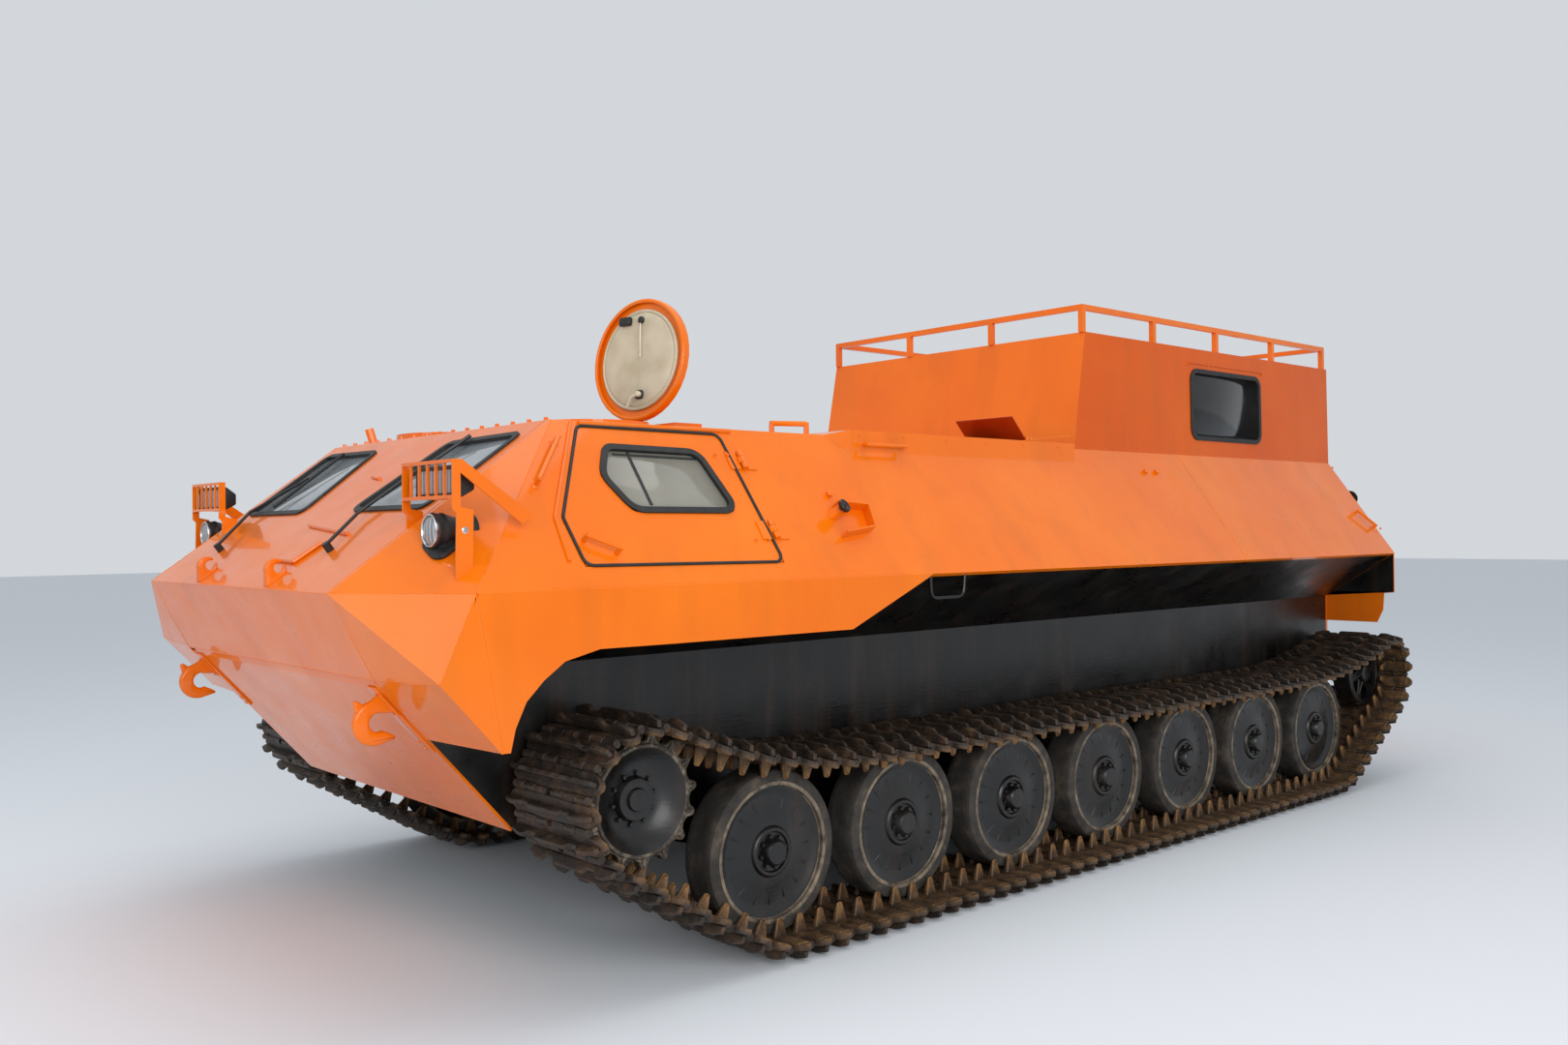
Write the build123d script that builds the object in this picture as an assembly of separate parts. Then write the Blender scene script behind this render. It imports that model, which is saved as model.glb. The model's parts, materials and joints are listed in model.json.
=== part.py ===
from build123d import *
import math
import os

# Tracked all-terrain vehicle, in millimetres: +Z up, front towards -Y, ground at z = 0.
# Lengths along the vehicle are stations, measured back from the tip of the nose.

# Longer than the vehicle, for the blocks that cut it
FAR = 20000.0

# Hull
CHINE_X = 1425.0
CHINE_Z = 1481.0
ROOF_X = 998.0
ROOF_Z = 2109.0
HULL_X = 950.0
FOLD_Z = 1181.0
BELLY_Z = 420.0
WALL = 25.0
PLATE = 10.0
SHEET = 5.0
NOSE_TOP_X = 982.0
NOSE_TOP_Z = 1480.0
NOSE_FOOT = (160.0, 1176.0)
BOW_BEND = (705.0, 566.0)
BELLY_FRONT = 1060.0
BELLY_REAR = 6900.0
REAR_FOOT_Z = 800.0
REAR_STATION = 7200.0
REAR_LEAN = 55.0
REAR_TOP_STATION = REAR_STATION - REAR_LEAN
HITCH_LENGTH = 120.0
OVERALL_LENGTH = REAR_STATION + HITCH_LENGTH
NOSE_Y = -OVERALL_LENGTH / 2
ROOF_FRONT = 861.0
CHINE_FRONT = 312.0
CORNER_FOOT = (180.0, 1195.0)
SKIRT_FOOT = (404.0, 948.0)
TUB_RISE = 10.0

# Passenger body
BODY_FRONT = 4175.0
BODY_FRONT_TOP = 4298.0
BODY_TOP_X = 991.0
BODY_TOP_Z = 2766.0

# Engine deck
DECK_X = 1050.0
DECK_Z = 2133.0
DECK_FOOT_Z = 2014.0
DECK_START = 2285.0
DECK_SHOULDER = 2403.0
DECK_END = 4107.0

# Gaps
GAP = 6.0
PIN_FIT = 0.08

# Running gear
TRACK_GAP = 32.5
TRACK_WIDTH = 565.0
TRACK_X = HULL_X + TRACK_GAP + TRACK_WIDTH / 2
SHOE_PITCH = 111.0
PIN_HEIGHT = 50.0
GROUSER_ROOT = 24.0
BAND_INNER = 14.0
WHEEL_PIN_R = 345.0
TYRE_R = 330.0
TYRE_WIDTH = 165.0
RIM_R = 279.0
WHEEL_COUNT = 7
WHEEL_FIRST = 1660.0
WHEEL_SPACING = 760.0
WHEEL_Z = PIN_HEIGHT + WHEEL_PIN_R
SPROCKET_STATION = 950.0
SPROCKET_Z = 717.0
SPROCKET_PIN_R = 267.0
SPROCKET_TEETH = 15
SPROCKET_LEAVE = 24.0
IDLER_STATION = 6945.0
IDLER_Z = 685.0
IDLER_PIN_R = 230.0
IDLER_LEAVE = 17.5
TOP_RUN_Z = 740.0
WHEEL_SIDES = 20
BARREL_SIDES = 8
ROD_SIDES = 8
HATCH_SIDES = 36
CORNER_SIDES = 3


def at(x, station, z):
    """A point from its distance to the left of the middle, its station and its height."""
    return Vector(x, NOSE_Y + station, z)


def solids_in(item):
    """Every solid in a shape, or in lists of shapes."""
    if isinstance(item, (list, tuple)):
        return [solid for part in item for solid in solids_in(part)]
    return list(item.solids())


def write(name, *shapes):
    """Write one sub-part, made of one solid or of several that do not touch."""
    found = solids_in(shapes)
    export_step(found[0] if len(found) == 1 else Compound(children=found), f"parts/{name}.step")


def other_side(shape):
    """The same shape on the vehicle's right side."""
    return mirror(shape, about=Plane.YZ)


def both(shape):
    return [shape, other_side(shape)]


def prism(points, plane, near, far):
    """A straight-sided body over an outline on a plane, from the height near to the height far."""
    outline = plane * Polyline(*points, close=True)
    face = make_face(outline)
    lifted = face.moved(Location(plane.z_dir * near))
    return extrude(lifted, amount=far - near, dir=plane.z_dir)


def side_prism(points, x0, x1):
    """A body over an outline of stations and heights, between two distances from the middle."""
    return prism(points, SIDE_VIEW, x0, x1)


def strip(points, thickness):
    """The outline of a bent plate: an open line, and the same line set off to its left."""
    sets = []
    for i, (x, y) in enumerate(points):
        normals = []
        for j in (i - 1, i):
            if 0 <= j < len(points) - 1:
                dx, dy = points[j + 1][0] - points[j][0], points[j + 1][1] - points[j][1]
                length = math.hypot(dx, dy)
                normals.append((-dy / length, dx / length))
        nx = sum(n[0] for n in normals) / len(normals)
        ny = sum(n[1] for n in normals) / len(normals)
        scale = thickness / (nx * nx + ny * ny)
        sets.append((x + nx * scale, y + ny * scale))
    return list(points) + sets[::-1]


def arc(centre, radius, start, end, count):
    """Points along an arc, from one angle in degrees to another."""
    angles = [math.radians(start + (end - start) * i / count) for i in range(count + 1)]
    return [(centre[0] + radius * math.cos(a), centre[1] + radius * math.sin(a)) for a in angles]


def flats(radius, sides):
    """The corners of a round that is drawn with flats, because its part repeats many times."""
    return arc((0.0, 0.0), radius, 0.0, 360.0 - 360.0 / sides, sides - 1)


def drum(radius, x0, x1, station, z, sides):
    """A round drawn with flats, lying across the vehicle."""
    return side_prism([(station + u, z + v) for u, v in flats(radius, sides)], x0, x1)


def cone(radius0, radius1, x0, x1, station, z, sides):
    """A tapered round drawn with flats, lying across the vehicle."""
    ends = []
    for radius, x in ((radius0, x0), (radius1, x1)):
        points = [at(x, station + u, z + v) for u, v in flats(radius, sides)]
        ends.append(make_face(Polyline(*points, close=True)))
    return loft(ends, ruled=True)


def pot(radius, z0, z1, sides):
    """An upright round drawn with flats, round the origin."""
    return prism(flats(radius, sides), Plane.XY, z0, z1)


def rod(a, b, radius):
    """A straight rod between two points, drawn with flats."""
    span = b - a
    return prism(flats(radius, ROD_SIDES), Plane(origin=a, z_dir=span), 0.0, span.length)


def bent_rod(points, radius):
    """A rod that turns at each point between its ends."""
    shape = rod(points[0], points[1], radius)
    for i in range(1, len(points) - 1):
        a, b = points[i], points[i + 1]
        shape += rod(a - (b - a).normalized() * (radius * 0.6), b, radius)
    return shape


def outside(shape, face):
    """What lies outside one outer plane of the hull."""
    return split(shape, bisect_by=Plane(origin=face.point, z_dir=face.normal), keep=Keep.TOP)


SIDE_VIEW = Plane(origin=at(0, 0, 0), x_dir=(0, 1, 0), z_dir=(1, 0, 0))
FRONT_VIEW = Plane(origin=at(0, 0, 0), x_dir=(1, 0, 0), z_dir=(0, -1, 0))
PLAN_VIEW = Plane(origin=at(0, 0, 0), x_dir=(1, 0, 0), z_dir=(0, 0, 1))


class Face3:
    """One outer plane of a plated body, with its outward normal and its plate's thickness."""

    def __init__(self, a, b, c, inside, thickness):
        normal = (b - a).cross(c - a).normalized()
        if normal.dot(inside - a) > 0:
            normal = normal * -1
        self.point, self.normal, self.thickness = a, normal, thickness

    def mirrored(self):
        twin = object.__new__(Face3)
        twin.point = Vector(-self.point.X, self.point.Y, self.point.Z)
        twin.normal = Vector(-self.normal.X, self.normal.Y, self.normal.Z)
        twin.thickness = self.thickness
        return twin

    def slab(self):
        """The plate before its edges are cut: a wide sheet under the outer plane."""
        middle = self.point - self.normal * (self.thickness / 2)
        return Plane(origin=middle, z_dir=self.normal) * Box(FAR, FAR, self.thickness)

    def height(self, x, station):
        """The height of this plane at a distance from the middle and a station."""
        foot = at(x, station, 0)
        return self.normal.dot(self.point - foot) / self.normal.Z

    def keep_inside(self, shape, depth=0.0):
        """Cut away what lies less than depth below this plane."""
        cut = Plane(origin=self.point - self.normal * depth, z_dir=self.normal)
        return split(shape, bisect_by=cut, keep=Keep.BOTTOM)


def mitre(shape, own, other):
    """Cut a plate where it meets its neighbour, along the plane through their two edges."""
    normal = own.normal * (1 / own.thickness) - other.normal * (1 / other.thickness)
    c_own = own.normal.dot(own.point) / own.thickness
    c_other = other.normal.dot(other.point) / other.thickness
    if normal.length < 1e-6:
        return shape
    # Depth below a face is (c - n.p); own depth over thickness is kept the smaller.
    offset = (c_own - c_other) / normal.length
    unit = normal.normalized()
    cut = Plane(origin=unit * offset, z_dir=unit)
    return split(shape, bisect_by=cut, keep=Keep.TOP)


def panel(faces, name, rules=None):
    """One plate of a body: mitred with each neighbour, or lapping it, or stopping under it."""
    rules = rules or {}
    own = faces[name]
    shape = own.slab()
    for other_name, other in faces.items():
        if other_name == name:
            continue
        rule = rules.get(other_name, "mitre")
        if rule == "none":
            continue
        if rule == "over":
            shape = other.keep_inside(shape)
        elif rule == "under":
            shape = other.keep_inside(shape, other.thickness)
        else:
            shape = other.keep_inside(mitre(shape, own, other))
    return shape


INSIDE = at(0, 3500, 1700)


def hull_faces():
    """The outer planes of the upper hull."""
    left = {
        "quarter": Face3(at(NOSE_TOP_X, 0, NOSE_TOP_Z), at(CHINE_X, CHINE_FRONT, CHINE_Z),
                         at(ROOF_X, ROOF_FRONT, ROOF_Z), INSIDE, WALL),
        "side": Face3(at(CHINE_X, 0, CHINE_Z), at(CHINE_X, 1000, CHINE_Z), at(ROOF_X, 0, ROOF_Z),
                      INSIDE, WALL),
        "corner": Face3(at(NOSE_TOP_X, 0, NOSE_TOP_Z), at(CHINE_X, *CORNER_FOOT),
                        at(CHINE_X, CHINE_FRONT, CHINE_Z), INSIDE, PLATE),
        "cheek": Face3(at(NOSE_TOP_X, 0, NOSE_TOP_Z), at(NOSE_TOP_X, *NOSE_FOOT),
                       at(CHINE_X, *CORNER_FOOT), INSIDE, PLATE),
        "floor": Face3(at(HULL_X, 0, FOLD_Z), at(HULL_X, 1000, FOLD_Z), at(CHINE_X, 0, CHINE_Z),
                       INSIDE, PLATE),
    }
    faces = {
        "glacis": Face3(at(-1, 0, NOSE_TOP_Z), at(1, 0, NOSE_TOP_Z), at(0, ROOF_FRONT, ROOF_Z),
                        INSIDE, WALL),
        "nose": Face3(at(-1, 0, NOSE_TOP_Z), at(1, 0, NOSE_TOP_Z), at(0, *NOSE_FOOT), INSIDE, PLATE),
        "roof": Face3(at(0, 0, ROOF_Z), at(1, 0, ROOF_Z), at(0, 1, ROOF_Z), INSIDE, WALL),
        "rear": Face3(at(0, REAR_STATION, CHINE_Z), at(1, REAR_STATION, CHINE_Z),
                      at(0, REAR_TOP_STATION, ROOF_Z), INSIDE, WALL),
        "rear_low": Face3(at(0, REAR_STATION, 0), at(1, REAR_STATION, 0), at(0, REAR_STATION, 1),
                          INSIDE, WALL),
    }
    for name, face in left.items():
        faces[name + "_left"] = face
        faces[name + "_right"] = face.mirrored()
    return faces


def body_faces():
    """The outer planes of the passenger body."""
    inside = at(0, (BODY_FRONT + REAR_STATION) / 2, (ROOF_Z + BODY_TOP_Z) / 2)
    side = Face3(at(ROOF_X, 0, ROOF_Z), at(ROOF_X, 1000, ROOF_Z), at(BODY_TOP_X, 0, BODY_TOP_Z),
                 inside, WALL)
    return {
        "front": Face3(at(-1, BODY_FRONT, ROOF_Z), at(1, BODY_FRONT, ROOF_Z),
                       at(0, BODY_FRONT_TOP, BODY_TOP_Z), inside, WALL),
        "rear": Face3(at(0, REAR_TOP_STATION, 0), at(1, REAR_TOP_STATION, 0),
                      at(0, REAR_TOP_STATION, 1), inside, WALL),
        "roof": Face3(at(0, 0, BODY_TOP_Z), at(1, 0, BODY_TOP_Z), at(0, 1, BODY_TOP_Z), inside, WALL),
        "left": side,
        "right": side.mirrored(),
    }


HULL = hull_faces()
BODY = body_faces()

# Planes that lie on the outer plates, with x along the station or to the left and y up the slope.
SLOPE_SIDE = Plane(origin=at(CHINE_X, 0, CHINE_Z), x_dir=(0, 1, 0), z_dir=HULL["side_left"].normal)
SLOPE_SIDE_RISE = (ROOF_Z - CHINE_Z) / math.hypot(ROOF_X - CHINE_X, ROOF_Z - CHINE_Z)
GLACIS = Plane(origin=at(0, 0, NOSE_TOP_Z), x_dir=(1, 0, 0), z_dir=HULL["glacis"].normal)
GLACIS_RUN = ROOF_FRONT / math.hypot(ROOF_FRONT, ROOF_Z - NOSE_TOP_Z)
BODY_SIDE = Plane(origin=at(ROOF_X, 0, ROOF_Z), x_dir=(0, 1, 0), z_dir=BODY["left"].normal)


def up_slope(z):
    """The height of a point on the sloped side, as a distance up the slope from the chine."""
    return (z - CHINE_Z) / SLOPE_SIDE_RISE


def on_slope(station, z, out):
    """A point above the left sloped side, at a station and the height of the plate below it."""
    return SLOPE_SIDE.from_local_coords(Vector(station, up_slope(z), out))


def on_glacis(x, station, out):
    """A point above the glacis plate."""
    return GLACIS.from_local_coords(Vector(x, station / GLACIS_RUN, out))


def inset(points, distance):
    """A convex outline moved inwards by a distance."""
    if signed_area(points) < 0:
        points = points[::-1]
    count = len(points)
    moved = []
    for i in range(count):
        (x0, y0), (x1, y1), (x2, y2) = points[i - 1], points[i], points[(i + 1) % count]
        a = math.hypot(x1 - x0, y1 - y0)
        b = math.hypot(x2 - x1, y2 - y1)
        n1 = (-(y1 - y0) / a, (x1 - x0) / a)
        n2 = (-(y2 - y1) / b, (x2 - x1) / b)
        scale = distance / (1 + n1[0] * n2[0] + n1[1] * n2[1])
        moved.append((x1 + (n1[0] + n2[0]) * scale, y1 + (n1[1] + n2[1]) * scale))
    return moved


def signed_area(points):
    pairs = zip(points, points[1:] + points[:1])
    return sum(x0 * y1 - x1 * y0 for (x0, y0), (x1, y1) in pairs) / 2


def soft_corners(points, radius):
    """An outline whose corners are rounded, each with a few flats."""
    if signed_area(points) < 0:
        points = points[::-1]
    outline = []
    for i, point in enumerate(points):
        corner = Vector(*point)
        back = (Vector(*points[i - 1]) - corner).normalized()
        ahead = (Vector(*points[(i + 1) % len(points)]) - corner).normalized()
        half = math.acos(back.dot(ahead)) / 2
        centre = corner + (back + ahead).normalized() * (radius / math.sin(half))
        start = corner + back * (radius / math.tan(half)) - centre
        angle = math.degrees(math.atan2(start.Y, start.X))
        turn = 180.0 - 2 * math.degrees(half)
        outline += arc((centre.X, centre.Y), radius, angle, angle + turn, CORNER_SIDES)
    return outline


def rounded(points, plane, near, far, radius):
    """A straight-sided body over an outline with rounded corners."""
    return prism(soft_corners(points, radius), plane, near, far)


# Windows
SEAL_WIDTH = 24.0
SEAL_PROUD = 7.0
GLASS = 6.0
PANE_DEPTH = 8.0


def window(points, plane, radius, wall):
    """The hole for a window, its rubber seal and its pane."""
    inner = inset(points, SEAL_WIDTH)
    hole = rounded(points, plane, -wall - 50, 50, radius)
    ring = rounded(points, plane, -wall, SEAL_PROUD, radius)
    opening = rounded(inner, plane, -wall - 5, SEAL_PROUD + 5, radius - SEAL_WIDTH * 0.5)
    pane = rounded(inner, plane, -PANE_DEPTH - GLASS, -PANE_DEPTH, radius - SEAL_WIDTH * 0.5)
    return hole, ring - opening, pane


# Stations and heights on the sloped side
DOOR_OUTLINE = [(748, 1733), (769, 1557), (1705, 1550), (1660, 2084), (965, 2090)]
DOOR_WINDOW = [(983, 1893), (1070, 1753), (1592, 1750), (1511, 2007), (1052, 2015)]
# Distance from the middle, and station
WINDSHIELD = [(247, 396), (891, 396), (914, 797), (340, 785)]
SIDE_WINDOW = [(5370, 2210), (6210, 2210), (6210, 2640), (5370, 2640)]
REAR_DOOR_HALF = 500.0
REAR_DOOR_FOOT = 1000.0
REAR_DOOR_TOP = 2050.0

# Round hatch
HATCH_R = 275.0
HATCH_LINING_R = 229.0
HATCH_HOLE_R = 235.0
COAMING_R = 250.0
COAMING_RISE = 30.0
HATCH_CENTRE = (600.0, 1295.0)
HATCH_TURN = 10.0
HATCH_AXIS_OUT = 289.0
HATCH_OPEN = 96.5
HINGE_R = 12.0
PIN_R = 6.0
HATCH_AXIS_Z = ROOF_Z + COAMING_RISE + HINGE_R


def barrel(length):
    """A hinge barrel along local x, drawn with flats."""
    return Rot(0, 90, 0) * pot(HINGE_R, -length / 2, length / 2, BARREL_SIDES)


def hinge(width, leaf, drop):
    """A butt hinge on its own axis: the fixed half with its pin, and the moving half.

    The axis runs along local x, the moving leaf lies towards local +y, and the leaves' undersides
    are a distance drop below the axis.
    """
    third = width / 3
    leaf_t = 6.0
    clear = HINGE_R + 4
    fixed = Cylinder(PIN_R, width - 2, rotation=(0, 90, 0))
    for end in (-1, 1):
        fixed += Pos(end * third, 0, 0) * barrel(third - 2)
        foot = Box(third - 2, clear + 4, drop, align=(Align.CENTER, Align.MAX, Align.MIN))
        fixed += Pos(end * third, 0, -drop) * foot
    fixed += Pos(0, -clear, -drop) * Box(width - 2, leaf - clear, leaf_t,
                                         align=(Align.CENTER, Align.MAX, Align.MIN))
    moving = barrel(third - 2) + Pos(0, 0, -drop) * Box(third - 2, clear + 4, drop,
                                                        align=(Align.CENTER, Align.MIN, Align.MIN))
    moving += Pos(0, clear, -drop) * Box(width - 2, leaf - clear, leaf_t,
                                         align=(Align.CENTER, Align.MIN, Align.MIN))
    moving -= Cylinder(PIN_R + PIN_FIT, third + 10, rotation=(0, 90, 0))
    return fixed, moving


def hinge_at(origin, axis_dir, out_dir, width, leaf, drop):
    """Both hinge halves, placed with their axis and outward direction."""
    place = Plane(origin=origin, x_dir=axis_dir, z_dir=out_dir)
    fixed, moving = hinge(width, leaf, drop)
    return place * fixed, place * moving


# Side door hinge line, on the sloped side's own plane
DOOR_HINGE_U = 1716.0
DOOR_HINGE_HEIGHTS = (1968.0, 1678.0)
HINGE_DROP = 14.0


def slope_outline(points):
    return [(station, up_slope(z)) for station, z in points]


def side_door():
    """The left door, its hole, window and hinges."""
    outline = slope_outline(DOOR_OUTLINE)
    hole = prism(outline, SLOPE_SIDE, -WALL - 60, 60)
    leaf = prism(inset(outline, GAP), SLOPE_SIDE, -WALL, 0)
    window_hole, seal, pane = window(slope_outline(DOOR_WINDOW), SLOPE_SIDE, 45, WALL)
    leaf -= window_hole
    fixed, moving = [], []
    up = SLOPE_SIDE.y_dir
    for z in DOOR_HINGE_HEIGHTS:
        origin = SLOPE_SIDE.from_local_coords(Vector(DOOR_HINGE_U, up_slope(z), HINGE_DROP))
        one, two = hinge_at(origin, up, SLOPE_SIDE.z_dir, 90, 70, HINGE_DROP)
        fixed.append(one)
        moving.append(two)
    return hole, leaf, seal, pane, fixed, moving


def glacis_outline(points):
    return [(x, station / GLACIS_RUN) for x, station in points]


UNDER_PROFILE = [NOSE_FOOT, BOW_BEND, (BELLY_FRONT, BELLY_Z), (BELLY_REAR, BELLY_Z),
                 (REAR_STATION, REAR_FOOT_Z)]


def bow_plate():
    """The plate that slopes down and back from the nose, as far as the first bend."""
    points = strip(UNDER_PROFILE, PLATE)
    outline = [points[0], points[1], points[-2], points[-1]]
    return HULL["nose"].keep_inside(side_prism(outline, -HULL_X, HULL_X), PLATE)


def tub():
    """The lower hull behind the bow plate: one bent plate underneath and a plate each side."""
    under = side_prism(strip(UNDER_PROFILE, PLATE), -HULL_X, HULL_X)
    top = FOLD_Z + TUB_RISE
    wall_outline = UNDER_PROFILE + [(REAR_STATION, top), (NOSE_FOOT[0] - 5, top)]
    wall = side_prism(wall_outline, HULL_X - PLATE, HULL_X)
    shape = HULL["nose"].keep_inside(under + wall + other_side(wall), PLATE)
    return HULL["rear_low"].keep_inside(shape, WALL) - bow_plate()


# How each hull plate meets the others; plates not named here meet at a mitre.
OUTER = ("glacis", "nose", "roof", "quarter", "side", "corner", "cheek")
REAR = ("rear", "rear_low")


def hull_rules(**special):
    """Rules for one hull plate, with left and right alike."""
    rules = {}
    for name in HULL:
        kind = name.replace("_left", "").replace("_right", "")
        rules[name] = special.get(kind, "mitre" if kind in OUTER else "none")
    return rules


def nose_plate():
    plate = panel(HULL, "nose", hull_rules())
    low = Plane(origin=at(0, *NOSE_FOOT), z_dir=(0, 0, 1))
    return split(plate, bisect_by=low, keep=Keep.TOP)


FENDER = Face3(at(NOSE_TOP_X, *NOSE_FOOT), at(CHINE_X, *CORNER_FOOT), at(CHINE_X, *SKIRT_FOOT),
               INSIDE, SHEET)
OUTBOARD = Plane(origin=at(CHINE_X, 0, 0), z_dir=(1, 0, 0))
INBOARD = Plane(origin=at(HULL_X, 0, 0), z_dir=(1, 0, 0))


def between_hull_and_chine(shape):
    """Keep what lies between the lower hull's side and the chine, on the left."""
    return split(split(shape, bisect_by=OUTBOARD, keep=Keep.BOTTOM), bisect_by=INBOARD, keep=Keep.TOP)


def front_corner():
    """The two plates that close the front of the left sponson, joined at their common edge."""
    plates = [between_hull_and_chine(panel(HULL, name, hull_rules(nose="mitre")))
              for name in ("cheek_left", "corner_left")]
    return FENDER.keep_inside(plates[0] + plates[1])


def fender():
    """The plate in front of the left track, from the corner's foot down."""
    plate = between_hull_and_chine(FENDER.slab())
    for name in ("cheek_left", "corner_left"):
        plate = HULL[name].keep_inside(plate, PLATE)
    floor = Plane(origin=at(0, *SKIRT_FOOT), z_dir=(0, 0, 1))
    return split(plate, bisect_by=floor, keep=Keep.TOP)


# Lower edge of the skirt, from the fender's foot back to the chine
SKIRT_EDGE = [(404, 948), (436, 947), (455, 1025), (497, 1111), (565, 1177), (650, 1236),
              (794, 1269), (1123, 1267), (2039, 1266), (2514, 1468)]


def skirt():
    """The plate that hangs from the left chine over the front of the track."""
    outline = [(CHINE_FRONT - 250, CHINE_Z), CORNER_FOOT] + SKIRT_EDGE + [(2540, CHINE_Z)]
    shape = side_prism(outline, CHINE_X - SHEET, CHINE_X)
    for name in ("corner_left", "cheek_left"):
        shape = HULL[name].keep_inside(shape, PLATE)
    shape = FENDER.keep_inside(shape, SHEET)
    under = Plane(origin=at(CHINE_X, 0, CHINE_Z), z_dir=HULL["floor_left"].normal)
    return split(shape, bisect_by=under, keep=Keep.TOP)


def sponson_floor():
    rules = {name: "none" for name in HULL}
    for name in ("corner_left", "cheek_left", "nose", "quarter_left", "side_left", *REAR):
        rules[name] = "under"
    return split(panel(HULL, "floor_left", rules), bisect_by=INBOARD, keep=Keep.TOP)


def glacis_plate():
    return panel(HULL, "glacis", hull_rules())


def quarter_plate():
    return panel(HULL, "quarter_left", hull_rules())


def side_panel():
    shape = panel(HULL, "side_left", hull_rules(roof="over", rear="under", rear_low="under"))
    return HULL["floor_left"].keep_inside(shape)


def roof_plate():
    shape = panel(HULL, "roof", hull_rules(side="under"))
    end = Plane(origin=at(0, BODY_FRONT + 60, 0), z_dir=(0, 1, 0))
    shape = split(shape, bisect_by=end, keep=Keep.BOTTOM)
    well = prism([(-900, DECK_SHOULDER + 60), (900, DECK_SHOULDER + 60), (900, DECK_END - 60),
                  (-900, DECK_END - 60)], PLAN_VIEW, ROOF_Z - WALL - 5, ROOF_Z + 5)
    shape -= well
    hole = Pos(HATCH_MIDDLE) * pot(HATCH_HOLE_R, -2 * WALL, 2 * WALL, HATCH_SIDES)
    return shape - hole - other_side(hole)


def rear_wall():
    """The hull's rear plate, bent at the chine, with its doorway."""
    profile = [(REAR_STATION, REAR_FOOT_Z), (REAR_STATION, CHINE_Z), (REAR_TOP_STATION, ROOF_Z)]
    strip_points = strip(profile, WALL)
    wide = side_prism(strip_points, -CHINE_X, CHINE_X)
    for name in ("side_left", "side_right", "floor_left", "floor_right"):
        wide = HULL[name].keep_inside(wide)
    upper = split(wide, bisect_by=Plane(origin=at(0, 0, FOLD_Z), z_dir=(0, 0, 1)), keep=Keep.TOP)
    lower = side_prism(strip_points, -HULL_X, HULL_X)
    lower = split(lower, bisect_by=Plane(origin=at(0, 0, FOLD_Z), z_dir=(0, 0, 1)), keep=Keep.BOTTOM)
    whole = upper + lower
    hole = side_prism([(REAR_STATION - 200, REAR_DOOR_FOOT), (REAR_STATION + 100, REAR_DOOR_FOOT),
                       (REAR_STATION + 100, REAR_DOOR_TOP), (REAR_STATION - 200, REAR_DOOR_TOP)],
                      -REAR_DOOR_HALF, REAR_DOOR_HALF)
    leaf = whole & side_prism(
        [(REAR_STATION - 200, REAR_DOOR_FOOT + GAP), (REAR_STATION + 100, REAR_DOOR_FOOT + GAP),
         (REAR_STATION + 100, REAR_DOOR_TOP - GAP), (REAR_STATION - 200, REAR_DOOR_TOP - GAP)],
        GAP / 2, REAR_DOOR_HALF - GAP)
    handle = bent_rod([at(REAR_HANDLE_X, REAR_STATION - 2, z) for z in (1290.0,)]
                      + [at(REAR_HANDLE_X, REAR_STATION + HANDLE_OUT, z) for z in (1290.0, 1430.0)]
                      + [at(REAR_HANDLE_X, REAR_STATION - 2, 1430.0)], 9)
    return whole - hole, leaf + handle


REAR_HANDLE_X = 70.0
REAR_HINGE_OUT = 14.0
REAR_HINGE_X = REAR_DOOR_HALF + 8
REAR_HINGE_HEIGHTS = (1120.0, 1400.0)


def rear_hinges():
    fixed, moving = [], []
    for z in REAR_HINGE_HEIGHTS:
        origin = at(REAR_HINGE_X, REAR_STATION + REAR_HINGE_OUT, z)
        one, two = hinge_at(origin, (0, 0, -1), (0, 1, 0), 90, 70, REAR_HINGE_OUT)
        fixed.append(one)
        moving.append(two)
    return fixed, moving


def deck():
    """The raised engine deck over the roof and the shoulders of the sloped sides, open beneath."""
    front = Face3(at(1, DECK_START, ROOF_Z), at(-1, DECK_START, ROOF_Z),
                  at(0, DECK_SHOULDER, DECK_Z), at(0, 3000, 2000), SHEET)
    shoulder = Face3(at(ROOF_X, DECK_START, ROOF_Z), at(DECK_X, DECK_SHOULDER, DECK_FOOT_Z),
                     at(DECK_X, DECK_SHOULDER, DECK_Z), at(0, 3000, 2000), SHEET)

    def mass(offset):
        body = prism([(-DECK_X + offset, DECK_START), (DECK_X - offset, DECK_START),
                      (DECK_X - offset, DECK_END - offset), (-DECK_X + offset, DECK_END - offset)],
                     PLAN_VIEW, DECK_FOOT_Z, DECK_Z - offset)
        for face in (front, shoulder, shoulder.mirrored()):
            body = face.keep_inside(body, offset)
        return body

    section = [(-CHINE_X, CHINE_Z), (CHINE_X, CHINE_Z), (ROOF_X, ROOF_Z), (-ROOF_X, ROOF_Z)]
    under = prism(section, FRONT_VIEW, -DECK_END - 10, -DECK_START + 10)
    return mass(0) - mass(SHEET) - under


def external_tangent(c0, r0, c1, r1):
    """The angle of the outward direction shared by two circles joined by a straight run below."""
    dx, dy = c1[0] - c0[0], c1[1] - c0[1]
    span = math.hypot(dx, dy)
    base = math.atan2(dy, dx)
    # Outward direction n with n.(c1-c0) = r0 - r1, on the lower side.
    return base - math.acos((r0 - r1) / span)


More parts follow.
